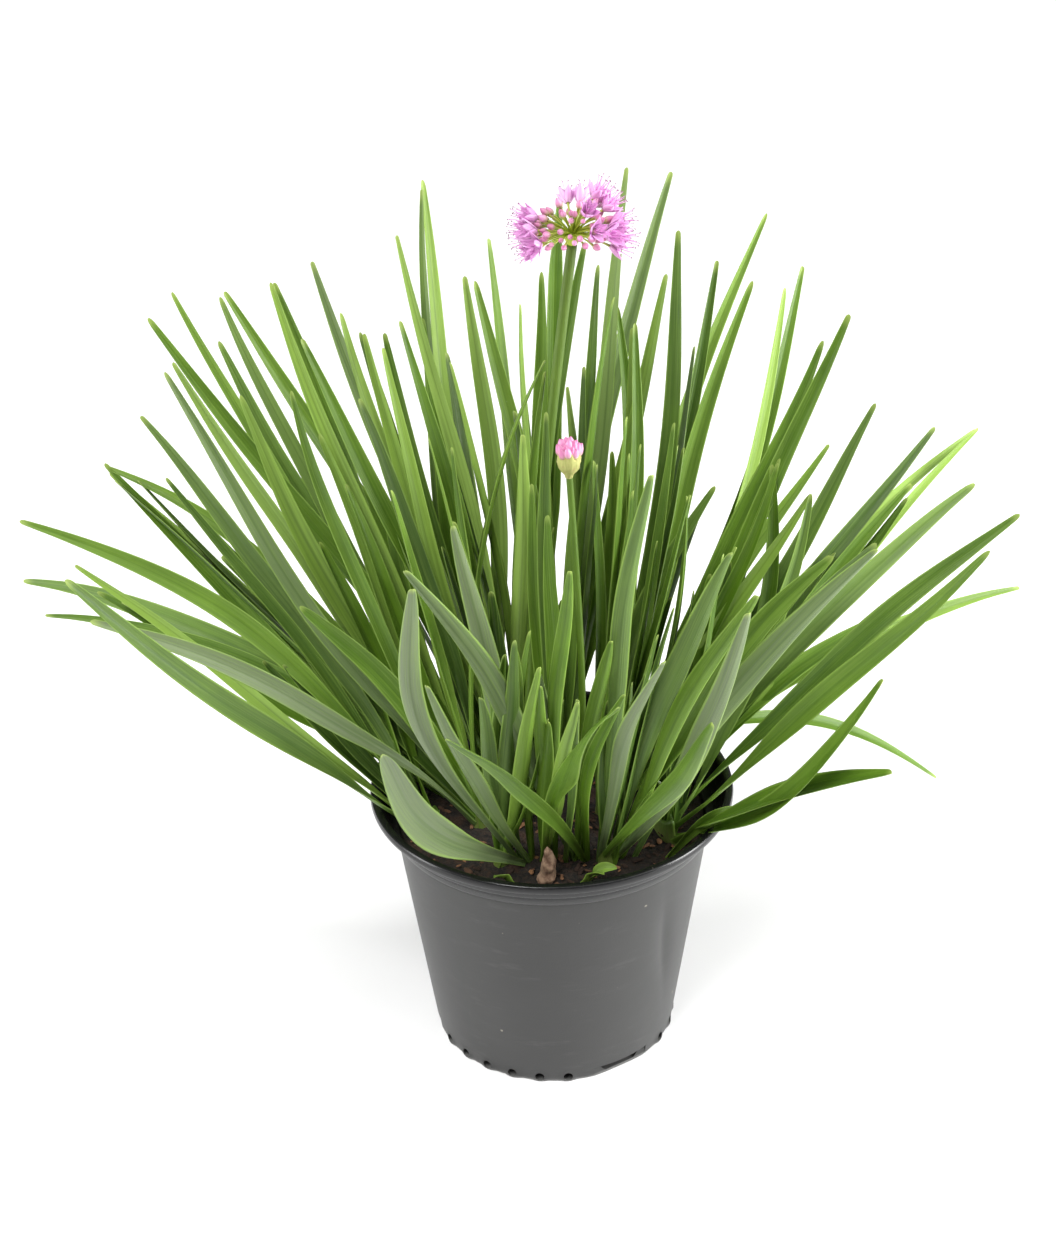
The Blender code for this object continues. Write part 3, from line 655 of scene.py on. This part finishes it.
def make_leaves(blade):
    """Make the leaves that stand for solids, then those between them; return each shoot's feet."""
    feet = {}
    for node in sorted(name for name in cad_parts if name.startswith("leaf_")):
        name = node[len("leaf_"):]
        centres, sides, uppers, halves = leaf_line(node)
        feet.setdefault(name.rsplit("_", 1)[0], []).append((centres[0], sides[0]))
        if name in [row[1] for row in FRONT]:
            continue
        aside, lift = DRAWN.get(name, (0, 0))
        shares = np.linspace(0, 1, len(centres))[:, None]
        centres = centres + np.array([aside, 0, lift]) * MM * 4 * shares * (1 - shares)
        centres[0] -= unit(centres[1] - centres[0]) * 3 * MM
        tone = BLOOM.get(name, rng.uniform(0.15, 0.8))
        pale = rng.uniform(-0.5, 0.3) + (0.3 if centres[-1][1] > 80 * MM else 0)
        halves = halves * rng.uniform(0.8, 1.08) * WIDER.get(name, 1.0)
        solid = leaf_solid(centres, sides, uppers, halves, tone, rng.choice([0.0, 0.15, 0.5]), pale)
        solids_of("blade_" + name, [solid], [blade], [node])
    for name, solid_name, foot_x, tip, drawn, width, foot_look, tip_look, tone in FRONT:
        replaced = ["leaf_" + solid_name] if solid_name else []
        for node in replaced:
            tip = (leaf_line(node)[0][-1] - (0, 0, soil_top - FOOT_DEPTH)) / MM
        path = shaped_path(foot_x, tip, drawn, width, foot_look, tip_look)
        pointed = 1.0 if width > 14 else rng.choice([0.0, 0.15, 0.4])
        solid = leaf_solid(*path, tone, pointed, 0.3 - tone * 0.6)
        solids_of("blade_" + name, [solid], [blade], replaced)
    for shoot, rows in BETWEEN.items():
        rows = [row if len(row) > 4 else (*row, 0, 0) for row in rows]
        for k, (*tip, width, aside, lift) in enumerate(rows):
            turn = min(max(tip[0] * 0.6, -60), 60) + rng.uniform(-20, 20)
            name = f"blade_between_{shoot}_{k + 1}"
            add_leaf(name, feet[shoot], tip, (aside, lift), width, turn, blade, rng.uniform(-0.7, 0.6))
    for shoot, places in feet.items():
        for k in range(5 if len(places) > 1 else 1):
            add_sibling(f"blade_inner_{shoot}_{k + 1}", shoot, places, blade)
    return feet


def shaped_path(foot_x, tip, drawn, width, foot_look, tip_look):
    """Return the stations of a front leaf, whose upper face turns from one look to another."""
    shares = np.linspace(0, 1, 13)
    foot, tip = np.array([foot_x, FRONT_ROW, 0]), np.array(tip, float)
    bow = np.array([drawn[0], 0.0, drawn[1]])
    points = [foot, foot + (tip - foot) / 3 + bow, foot + (tip - foot) * 2 / 3 + bow, tip]
    centres = along_curve(np.array(points) * MM + (0, 0, soil_top - FOOT_DEPTH), shares)
    aheads = unit(np.gradient(centres, axis=0))
    looks = np.radians(foot_look + (tip_look - foot_look) * smooth_step(shares))
    uppers = np.stack([np.cos(looks), np.sin(looks), np.full(13, 0.12)], axis=1)
    uppers = unit(uppers - aheads * np.sum(uppers * aheads, axis=1)[:, None])
    halves = (5 + (width - 5) * smooth_step(shares / 0.5)) * MM / 2
    return centres, np.cross(uppers, aheads), uppers, halves


def add_leaf(name, places, tip, drawn, width, turn, blade, pale):
    """Add a leaf that rises from within a shoot to a tip."""
    feet = np.array([foot for foot, side in places])
    share = rng.uniform(0.15, 0.85)
    foot = feet[0] * share + feet[-1] * (1 - share) + rng.uniform(-1.5, 1.5, 3) * MM
    foot[2] = soil_top - FOOT_DEPTH
    end = np.array(tip) * MM + (0, 0, soil_top)
    path = leaf_path(foot, end, drawn, width * MM, turn, places[0][1])
    tone = rng.uniform(0.25, 0.75)
    solids_of(name, [leaf_solid(*path, tone, rng.choice([0.0, 0.15, 0.6]), pale)], [blade])


def add_sibling(name, shoot, places, blade):
    """Add a shorter, more upright leaf that fills the heart of a shoot."""
    tips = [np.array(row[:3], float) for row in BETWEEN.get(shoot, ((150, 60, 120),))]
    tip = tips[rng.integers(len(tips))] * rng.uniform(0.5, 0.95) + rng.uniform(-12, 12, 3)
    tip[2] = min(max(tip[2], 80) * 1.1, 205)
    drawn = rng.uniform(-4, 4, 2)
    width, turn = rng.uniform(7, 11), rng.uniform(-50, 50)
    # the tone here is random but leans darker: partly painted shade in the heart of the shoot
    add_leaf(name, places, tip, drawn, width, turn, blade, rng.uniform(-1.0, 0.2))


def make_necks(feet):
    """Make the fleshy neck of each shoot, wrapped around the feet of its leaves."""
    neck = sheath_finish()
    # each level's height above the mix (mm) and share of the full width, turned in at the mouth
    levels = ((-3, 1.05), (0, 1.02), (3, 0.94), (6, 0.86), (9, 0.82), (12, 0.80), (11.4, 0.74), (7, 0.6))
    for shoot, places in feet.items():
        spots = np.array([foot for foot, side in places])
        row = spots[-1] - spots[0] if len(spots) > 1 else np.array([3 * MM, 0.0, 0.0])
        long_half = min(np.linalg.norm(row) / 2 + 2.2 * MM, 4 * MM if "front" in shoot else 20 * MM)
        row = unit(row * (1, 1, 0))
        side = np.array([-row[1], row[0], 0])

        def neck_point(k, level, angle):
            height, wide = level
            torn = 1 + 0.12 * math.sin(3 * angle + spots[0][0] * 900) if height > 7 else 1
            point = spots.mean(0) + row * (long_half * wide * math.cos(angle))
            point = point + side * (2.9 * MM * wide * math.sin(angle))
            point[2] = soil_top + height * MM * torn
            return point

        solids_of(f"neck_{shoot}", [ringed_solid(levels, 24, neck_point, False)], [neck])


# Flowers

# Open flowers and closed buds, as azimuth and elevation in degrees from the umbel's heart
OPEN_FLOWERS = ((-155, 15), (-140, 0), (145, -10), (170, -10), (-165, 30), (5, 60), (30, 40), (75, 35),
                (95, 30), (20, 30), (-10, 20), (-15, 0), (20, -10), (-35, 10), (-65, 45), (-60, 20),
                (-170, 10), (165, 15), (-10, -15), (10, 5), (-25, 15), (15, 50), (-150, -10), (-5, 40))
SOLID_FLORETS = 8    # the first open flowers stand for solids
# The closed buds lie on a spiral over the front of the umbel, and every fifth one behind it
CLOSED_BUDS = [(-95 + 100 * (2 * (k * 0.618 % 1) - 1) + (180 if k % 5 == 0 else 0),
                math.degrees(math.asin(0.95 - 1.05 * (k + 0.5) / 64))) for k in range(64)]


def direction_of(azimuth, elevation):
    """Return the unit vector of a direction in degrees."""
    rise = math.radians(elevation)
    return spoke(math.radians(azimuth), math.cos(rise), math.sin(rise))


def facing(direction):
    """Return two unit vectors square to a direction."""
    across = unit(np.cross(direction, (0.12, 0.3, 0.95)))
    return across, np.cross(direction, across)


def tepal_solid(base, direction, spin, length, open_angle, tone):
    """Return the solid of one tepal: a narrow, cupped blade that opens away from the flower's axis."""
    across, other = facing(direction)
    out = across * math.cos(spin) + other * math.sin(spin)
    shares = np.linspace(0, 1, 9)
    angle = np.radians(open_angle) * (0.75 + 0.5 * shares)
    step = (direction * np.cos(angle)[:, None] + out * np.sin(angle)[:, None]) * length / 8
    line = base + np.cumsum(step, axis=0) - step[0] + out * 0.35 * MM
    side = unit(np.cross(direction, out))
    half = length * 0.25 * np.array([0.45, 0.75, 0.95, 1.0, 0.97, 0.85, 0.65, 0.38, 0.04])
    around = (-1.0, -0.5, 0.0, 0.5, 1.0, 0.5, 0.0, -0.5)
    rows = []
    for k, u in enumerate(around):
        thick = 0.16 * MM if k > 4 else 0.0
        rows.append(line + side * (u * half)[:, None] + out * (half * 0.5 * (1 - u * u) + thick)[:, None])
    points = np.stack(rows, axis=1).reshape(-1, 3)
    places = np.stack([np.tile(around, 9), np.repeat(shares, 8), np.full(len(points), tone)], axis=1)
    return points, [face[::-1] for face in tube_faces(9, 8)], places, places, 0


def flower_groups(base, direction, size, open_angle):
    """Return the solids of one open flower: six tepals, six stamens with their anthers, and the ovary."""
    groups = []
    turn = rng.uniform(0, 1)
    across, other = facing(direction)
    for k in range(6):
        spin = turn + k * math.pi / 3
        tilt = open_angle * (0.85 if k % 2 else 1.1) + rng.uniform(-4, 4)
        length = size * rng.uniform(0.93, 1.05)
        groups.append(tepal_solid(base, direction, spin, length, tilt, rng.uniform(0, 1)))
        out = across * math.cos(spin + 0.3) + other * math.sin(spin + 0.3)
        shares = np.linspace(0, 1, 6)[:, None]
        reach = size * rng.uniform(1.15, 1.35)
        line = base + direction * shares * reach + out * (0.3 * MM + shares ** 1.5 * size * 0.28)
        groups.append(round_stalk(line, np.linspace(0.22, 0.13, 6) * MM, 0.7, 5, 1))
        anther = line[-1] + np.outer(np.linspace(-0.5, 0.5, 5), unit(out + direction * 0.4)) * 0.95 * MM
        groups.append(round_stalk(anther, np.array([0.06, 0.20, 0.25, 0.20, 0.06]) * MM, 0.5, 6, 2))
    ovary = base + np.outer(np.linspace(0, 1, 7), direction) * 2.6 * MM
    groups.append(round_stalk(ovary, np.array([0.4, 0.9, 1.15, 1.15, 0.9, 0.5, 0.15]) * MM, 0.3, 10, 3))
    return groups


def bud_solid(base, direction, size, tone):
    """Return the solid of one closed bud, shaped like an egg."""
    shares = np.linspace(0, 1, 10)
    swell = np.sin(np.pi * shares ** 0.72) ** 0.8 * 0.98 + 0.06
    return round_stalk(base + np.outer(shares, direction) * size, swell * size * 0.29, tone)


def stalklet(heart, away, reach, tone):
    """Return the solid of a fine stalklet that bends up a little between the umbel's heart and a flower."""
    start, end = heart + away * 1.5 * MM, heart + away * reach
    shares = np.linspace(0, 1, 9)
    arch = np.sin(shares * math.pi)
    line = start + np.outer(shares, end - start) + np.outer(arch, (0, 0, 0.06 * np.linalg.norm(end - start)))
    return round_stalk(line, 0.42 * MM * (1.25 - 0.5 * arch + 0.2 * shares ** 6), tone, 7)


def make_umbel():
    """Make the open umbel: a small heart, stalklets all round, open flowers and closed buds."""
    top = stalk_line("flower_scape")[-1]
    heart = top + (0, 0, 3.4 * MM)
    flower_materials = [tepal_finish(),
                        plain_finish("filament", (0.62, 0.24, 0.54), (0.75, 0.38, 0.68), 600.0, 0.5),
                        plain_finish("anther", (0.20, 0.08, 0.16), (0.36, 0.22, 0.30), 900.0, 0.7),
                        plain_finish("ovary", (0.30, 0.33, 0.10), (0.48, 0.30, 0.30), 900.0, 0.5)]
    bud = bud_finish()
    stalks = []
    for k, direction in enumerate(OPEN_FLOWERS):
        away = direction_of(*direction)
        reach = rng.uniform(15.2, 17.4) * MM
        stalks.append(stalklet(heart, away, reach, rng.uniform(0, 1)))
        replaced = [f"floret_{k + 1}"] if k < SOLID_FLORETS else []
        groups = flower_groups(heart + away * reach, away, rng.uniform(7.6, 8.8) * MM, rng.uniform(22, 40))
        solids_of(f"open_flower_{k + 1}", groups, flower_materials, replaced)
    for k, direction in enumerate(CLOSED_BUDS):
        away = unit(direction_of(*direction) + rng.uniform(-0.06, 0.06, 3))
        reach = rng.uniform(10.0, 15.8) * MM
        stalks.append(stalklet(heart, away, reach, rng.uniform(0, 1)))
        closed = bud_solid(heart + away * reach, away, rng.uniform(3.3, 5.2) * MM, rng.uniform(0, 1))
        solids_of(f"closed_bud_{k + 1}", [closed], [bud])
    line = top + np.outer(np.linspace(-0.6, 5.8, 9), (0, 0, MM))
    knob = np.array([2.2, 2.5, 3.0, 3.3, 3.3, 3.0, 2.4, 1.5, 0.3]) * MM
    stalks.append(round_stalk(line, knob, 0.4, 16))
    solids_of("umbel_heart_and_pedicels", stalks, [pedicel_finish()], ["umbel_stalks"])


def stalk_line(node):
    """Return the middle line of a round stalk's solid, from its foot up."""
    levels = stations_of(node, 12, lambda point: point[2])
    return np.array([level.mean(0) for level in levels if len(level) > 6])


def make_scapes():
    """Make both flower stalks, round and faintly ribbed, thicker at the foot."""
    green = scape_finish()
    shares = np.linspace(0, 1, 60)
    for node, radius, top_radius in (("flower_scape", 2.5, 2.15), ("bud_scape", 1.8, 1.45)):
        line = stalk_line(node)
        line[0][2] -= 3 * MM
        radii = (radius + (top_radius - radius) * shares) * MM
        solid = round_stalk(along_curve(line, shares), radii, 0.5, 20)
        solids_of(node + "_stalk", [solid], [green], [node])


def make_young_head():
    """Make the young head: a torn papery spathe with pink buds pushing out of its top."""
    low, high = (np.array(corner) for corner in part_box("bud_head"))
    foot = (low + high) / 2
    foot[2] = low[2] - 3.5 * MM
    height = high[2] - low[2] + 5 * MM
    # each level's share of the height and radius (mm), turned in at the mouth
    levels = ((0, 1.6), (0.09, 2.0), (0.17, 3.2), (0.26, 4.3), (0.38, 4.9), (0.5, 5.0), (0.6, 4.7),
              (0.68, 4.4), (0.60, 3.9), (0.48, 4.2), (0.3, 3.9))

    def spathe_point(k, level, angle):
        rise, radius = level[0] * height, level[1] * MM
        crease = 1 + 0.05 * math.sin(angle * 7 + rise * 900) + 0.03 * math.sin(angle * 13)
        torn = 1 + 0.13 * math.sin(angle * 3 + 1) + 0.06 * math.sin(angle * 8) if 6 <= k <= 8 else 1.0
        return foot + spoke(angle, radius * crease, rise * torn)

    bag = ringed_solid(levels, 36, spathe_point, False)
    solids_of("papery_spathe", [bag], [spathe_finish()], ["bud_head"])
    groups = []
    count = 22
    for k in range(count):
        angle = k * GOLDEN_ANGLE
        out = math.sqrt((k + 0.5) / count)
        base = foot + spoke(angle, out * 2.7 * MM, height * (0.50 + 0.18 * (1 - out)))
        away = unit(spoke(angle, out * 0.5, 1.0))
        groups.append(bud_solid(base, away, rng.uniform(5.8, 7.4) * MM, rng.uniform(0.0, 0.8)))
    solids_of("young_buds", groups, [bud_finish()])


# Pot and potting mix

def lathe_mesh(name, profile, segments):
    """Return a mesh turned about +Z from a profile of radii and heights whose ends lie on the axis."""
    bm = bmesh.new()
    rings = []
    for radius, height in profile:
        if radius < 1e-7:
            rings.append([bm.verts.new((0, 0, height))])
            continue
        angles = [2 * math.pi * k / segments for k in range(segments)]
        rings.append([bm.verts.new(spoke(angle, radius, height)) for angle in angles])
    for upper, lower in zip(rings, rings[1:]):
        for k in range(segments):
            after = (k + 1) % segments
            corners = [upper[k % len(upper)], upper[after % len(upper)]]
            corners += [lower[after % len(lower)], lower[k % len(lower)]]
            bm.faces.new(list(dict.fromkeys(corners)))
    bmesh.ops.recalc_face_normals(bm, faces=bm.faces)
    mesh = bpy.data.meshes.new(name)
    bm.to_mesh(mesh)
    bm.free()
    return mesh


def rounded(corners, steps=4, share=0.3, longest=1.6 * MM):
    """Round a profile's inner corners with short curves."""
    out = [corners[0]]
    for a, b, c in zip(corners, corners[1:], corners[2:]):
        a, b, c = (np.array(p) for p in (a, b, c))
        reach_in = min(share * np.linalg.norm(a - b), longest)
        reach_out = min(share * np.linalg.norm(c - b), longest)
        start = b + unit(a - b) * reach_in
        end = b + unit(c - b) * reach_out
        for t in np.linspace(0, 1, steps):
            out.append(tuple((1 - t) ** 2 * start + 2 * t * (1 - t) * b + t * t * end))
    out.append(corners[-1])
    return out


def make_pot():
    """Make the pot: a turned thin wall with a rolled lip, a collar, drain holes and scalloped foot lips."""
    top, rim, base = pot_height, rim_radius, POT_BASE_RADIUS
    wall_top = rim - 11 * MM
    # steps in from the rim and down from the top (mm): the lip, the collar and the rings below it
    steps = ((2.3, 0), (0.5, 0.5), (0, 2.4), (0.5, 4.4), (2.8, 5.0), (4.9, 5.6), (4.8, 7.0), (5.6, 10.2),
             (7.3, 10.9), (7.3, 12.2), (8.3, 15.8), (11, 16.6), (11, 17.6))
    outer = rounded([(rim - inward * MM, top - down * MM) for inward, down in steps])
    wall = [(wall_top + (base - wall_top) * t, (top - COLLAR_DEPTH) * (1 - t) + 1.4 * MM * t)
            for t in np.linspace(0, 1, 50)]
    inner = [(0, 1.5 * MM)] + [(radius - POT_WALL, height) for radius, height in wall[::-1]]
    inner += [(rim - inward * MM, top - down * MM)
              for inward, down in ((10.4, 16), (7, 8.5), (4.6, 4.6), (4.6, 2.2), (3.6, 0.5))]
    under = [(base - 0.4 * MM, 0.5 * MM), (base - 1.5 * MM, 0.0), (0, 0)]
    mesh = lathe_mesh("nursery_pot", inner + outer + wall[1:] + under, POT_SEGMENTS)
    holes, slots, notches = bmesh.new(), bmesh.new(), bmesh.new()
    flat = base * math.cos(math.radians(15))
    hole_azimuths = []
    for azimuth in SLOT_AZIMUTHS:
        add_box(slots, (flat + 6 * MM, 0, 3.7 * MM), (12 * MM, 30 * MM, 4.6 * MM), azimuth)
        add_box(notches, (flat + 30 * MM, 0, 0), (60 * MM, 31 * MM, 3.2 * MM), azimuth)
        hole_azimuths += [azimuth + 60 + HOLE_STEP * (k - 2.5) for k in range(6)]
    for azimuth in hole_azimuths:
        add_hole(holes, base, 3.1 * MM, 2.2 * MM, azimuth)
    foot_lips(mesh, base, hole_azimuths)
    dent(mesh, math.radians(-41), 70 * MM, 1.7 * MM)
    pot = new_object("nursery_pot", mesh)
    for name, cutter_shape in (("slots", slots), ("notches", notches), ("holes", holes)):
        cut_with(pot, name, cutter_shape)
    pot.data.materials.clear()
    pot.data.materials.append(pot_finish())
    pot.data.shade_smooth()
    pot.data.set_sharp_from_angle(angle=math.radians(38))
    settle(pot, ["pot"])


def cut_with(piece, name, cutter_shape):
    """Cut a shape out of a piece."""
    mesh = bpy.data.meshes.new(name)
    bmesh.ops.recalc_face_normals(cutter_shape, faces=cutter_shape.faces)
    cutter_shape.to_mesh(mesh)
    cutter_shape.free()
    cutter = new_object(name, mesh)
    boolean = piece.modifiers.new(name, "BOOLEAN")
    boolean.operation = "DIFFERENCE"
    boolean.object = cutter
    bpy.context.view_layer.update()
    cut = bpy.data.meshes.new_from_object(piece.evaluated_get(bpy.context.evaluated_depsgraph_get()))
    piece.modifiers.clear()
    piece.data = cut
    bpy.data.objects.remove(cutter)


def add_box(bm, centre, size, azimuth):
    turn = Matrix.Rotation(math.radians(azimuth), 4, "Z")
    place = turn @ Matrix.Translation(centre) @ Matrix.Diagonal((*size, 1.0))
    bmesh.ops.create_cube(bm, size=1.0, matrix=place)


def add_hole(bm, distance, height, radius, azimuth):
    """Add a round hole's cutter, set across the wall at an azimuth."""
    turn = Matrix.Rotation(math.radians(azimuth), 4, "Z")
    lie = Matrix.Rotation(math.radians(90), 4, "Y")
    place = turn @ Matrix.Translation((distance, 0, height)) @ lie
    bmesh.ops.create_cone(bm, cap_ends=True, segments=20, radius1=radius, radius2=radius, depth=9 * MM,
                          matrix=place)


def foot_lips(mesh, base, azimuths):
    """Push the wall's foot out into a small scalloped lip under each drain hole."""
    for vertex in mesh.vertices:
        radius = math.hypot(vertex.co.x, vertex.co.y)
        if vertex.co.z > 4.5 * MM or radius < base - 1.6 * MM:
            continue
        here = math.degrees(math.atan2(vertex.co.y, vertex.co.x))
        off = min(abs((here - azimuth + 180) % 360 - 180) for azimuth in azimuths)
        if off < 4.2:
            push = 1.1 * MM * math.cos(off / 4.2 * math.pi / 2) * (1 - vertex.co.z / (4.5 * MM)) ** 0.5
            vertex.co.x *= 1 + push / radius
            vertex.co.y *= 1 + push / radius


def dent(mesh, azimuth, height, depth):
    """Press a soft crease into the wall, as thin pots get."""
    for vertex in mesh.vertices:
        radius = math.hypot(vertex.co.x, vertex.co.y)
        if radius < 50 * MM or vertex.co.z > pot_height - 18 * MM or vertex.co.z < 6 * MM:
            continue
        here = math.atan2(vertex.co.y, vertex.co.x)
        sideways = (here - azimuth) * radius + (vertex.co.z - height) * 0.18
        rise = (vertex.co.z - height) / (26 * MM)
        press = depth * math.exp(-rise * rise) * math.exp(-abs(sideways / (5 * MM)) ** 1.4)
        vertex.co.x *= 1 - press / radius
        vertex.co.y *= 1 - press / radius


def make_potting_mix():
    """Make the mix's crumbly top and its bark chips, and give the mix's own solid its finish."""
    mix = soil_finish()
    radius, ring_count, spoke_count = 71.4 * MM, 64, 200
    points = []
    for ring in range(ring_count + 1):
        for k in range(spoke_count):
            x, y, z = spoke(2 * math.pi * k / spoke_count, radius * ring / ring_count, soil_top + 0.9 * MM)
            rough = noise.fractal(Vector((x * 60, y * 60, 0)), 1.0, 2.0, 3) * 1.5 * MM
            rough += noise.fractal(Vector((x * 320, y * 320, 3)), 0.9, 2.0, 3) * 1.1 * MM
            points.append((x, y, z + rough + noise.noise(Vector((x * 1100, y * 1100, 7))) * 0.5 * MM))
    points = np.array(points)
    bottom = points[-spoke_count:] * (0.995, 0.995, 0) + (0, 0, soil_top - 6 * MM)
    points = np.concatenate([points, bottom])
    faces = [face[::-1] for face in tube_faces(ring_count + 2, spoke_count, closed_ends=False)]
    places = np.zeros((len(points), 3))
    solids_of("crumbly_top", [(points, faces, places, places, 0)], [mix])
    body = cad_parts["potting_mix"]
    body.data.materials.clear()
    body.data.materials.append(mix)
    groups = []
    for k in range(BARK_CHIPS):
        angle, out = rng.uniform(0, 2 * math.pi), 69 * MM * math.sqrt(rng.uniform(0.02, 1))
        centre = spoke(angle, out, soil_top + rng.uniform(1.0, 2.6) * MM)
        size = rng.uniform(0.6, 3.4) * MM * rng.uniform(0.5, 1)
        groups.append(chip_solid(centre, size, rng.uniform(0, 1) ** 2))
    solids_of("bark_chips", groups, [bark_finish()], smooth=False)


def chip_solid(centre, size, tone):
    """Return the solid of one irregular bark chip."""
    yaw, pitch = rng.uniform(0, math.pi), rng.uniform(-0.5, 0.5)
    long = np.array([math.cos(yaw) * math.cos(pitch), math.sin(yaw) * math.cos(pitch), math.sin(pitch)])
    wide = unit(np.cross(long, (0, 0, 1)) + rng.uniform(-0.2, 0.2, 3))
    tall = np.cross(long, wide)
    points, places = [], []
    for k, reach in enumerate((-1.0, -0.6, 0.1, 0.7, 1.0)):
        swell = (0.5, 1.0, 1.1, 0.8, 0.35)[k] * rng.uniform(0.75, 1.2)
        for angle in np.linspace(0, 2 * math.pi, 6, endpoint=False):
            grit = rng.uniform(0.7, 1.2)
            points.append(centre + long * reach * size + wide * (math.cos(angle) * size * 0.45 * swell * grit)
                          + tall * (math.sin(angle) * size * 0.25 * swell * grit))
            places.append((math.cos(angle), reach, tone))
    return np.array(points), tube_faces(5, 6), np.array(places), np.array(places), 0


def make_stump():
    """Make the dry, knobbly stump of an old neck."""
    low, high = (np.array(corner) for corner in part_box("dry_stump"))
    foot = (low + high) / 2
    foot[2] = low[2] - 2 * MM
    height = high[2] - low[2] + 2 * MM
    husk = plain_finish("dry_husk", (0.115, 0.060, 0.035), (0.330, 0.215, 0.140), 240.0, 0.85, 0.0006)

    def husk_point(k, rise, angle):
        swell = np.interp(rise, (0, 0.2, 0.38, 0.55, 0.7, 0.88, 1), (0.85, 1.0, 0.66, 0.85, 0.6, 0.45, 0.05))
        lump = noise.noise(Vector((*spoke(angle, 1.6)[:2], rise * 6))) * 0.28
        lean = (1.6 * MM * math.sin(rise * 2.4), 0, 0)
        return foot + spoke(angle, 4.4 * MM * swell * (1 + lump), rise * height) + lean

    stump = ringed_solid(np.linspace(0, 1, 26), 28, husk_point)
    solids_of("dry_neck", [stump], [husk], ["dry_stump"])


def make_small_growth(blade):
    """Make the short new leaves at the front of the clump."""
    # foot across and back, tip with its height above the mix, the middle's drawing up, width (mm) and turn
    growth = (((14, -56), (28, -59, 10), 4, 4, 40), ((12, -57), (22, -66, 12), 3, 5, -20),
              ((-18, -57), (-27, -64, 10), 3, 6, 30), ((-14, -59), (-20, -69, 9), 1, 4, 10))
    for k, (foot, tip, lift, width, turn) in enumerate(growth):
        start = np.array([*foot, -1]) * MM + (0, 0, soil_top)
        end = np.array(tip) * MM + (0, 0, soil_top)
        path = leaf_path(start, end, (0, lift), width * MM, turn, (1, 0, 0))
        solids_of(f"new_leaf_{k + 1}", [leaf_solid(*path, 0.3, 0.3, 0.4, 0.5 * MM)], [blade])


# Stage

def make_floor():
    """Make a floor wide enough to fill the view from every side."""
    mesh = bpy.data.meshes.new("floor")
    mesh.from_pydata([(-30, -30, 0), (30, -30, 0), (30, 30, 0), (-30, 30, 0)], [], [(0, 1, 2, 3)])
    mesh.materials.append(floor_finish())
    new_object("floor", mesh)


def add_light(name, kind, power, ahead, place=(0, 0, 0)):
    """Add a light that shines along a direction; return its settings."""
    lamp = bpy.data.lights.new(name, kind)
    lamp.energy = power
    light = new_object(name, lamp)
    light.location = place
    light.rotation_euler = Vector(ahead).to_track_quat("-Z", "Y").to_euler()
    return lamp


def make_light():
    """Make the soft room: a white world, two very soft suns and a tall soft panel on each side."""
    world = bpy.data.worlds.new("soft_room")
    world.use_nodes = True
    room = world.node_tree.nodes["Background"]
    room.inputs["Color"].default_value = (1, 1, 1, 1)
    room.inputs["Strength"].default_value = 0.28
    bpy.context.scene.world = world
    add_light("key", "SUN", 2.6, (0.35, 0.5, -1.0)).angle = math.radians(28)
    add_light("fill", "SUN", 0.9, (-0.6, 0.3, -1.0)).angle = math.radians(50)
    for name, x, width, power in (("left_panel", -1.3, 0.4, 13), ("right_panel", 1.3, 0.5, 36)):
        panel = add_light(name, "AREA", power, (-x, 0.2, -0.3), (x, -0.2, 0.5))
        panel.shape = "RECTANGLE"
        panel.size, panel.size_y = width, 1.2
    bpy.context.scene.view_settings.view_transform = "Standard"


def make_camera():
    """Set the camera at the front, looking down at the plant, a little rolled."""
    target = Vector((-0.0095, 0.0, 0.213))
    elevation, roll = math.radians(29.2), math.radians(1.2)
    ahead = Vector((0, math.cos(elevation), -math.sin(elevation)))
    right, up = Vector((1, 0, 0)), Vector((0, math.sin(elevation), math.cos(elevation)))
    rolled_right = right * math.cos(roll) - up * math.sin(roll)
    rolled_up = right * math.sin(roll) + up * math.cos(roll)
    lens = bpy.data.cameras.new("camera")
    lens.lens = 63.5
    lens.sensor_width = 36
    camera = new_object("camera", lens)
    turn = Matrix((rolled_right, rolled_up, -ahead)).transposed().to_4x4()
    camera.matrix_world = Matrix.Translation(target - ahead) @ turn
    bpy.context.scene.camera = camera


make_camera()
make_light()
make_floor()
make_pot()
make_potting_mix()
leaf_blade = leaf_finish()
make_necks(make_leaves(leaf_blade))
make_scapes()
make_umbel()
make_young_head()
make_stump()
make_small_growth(leaf_blade)
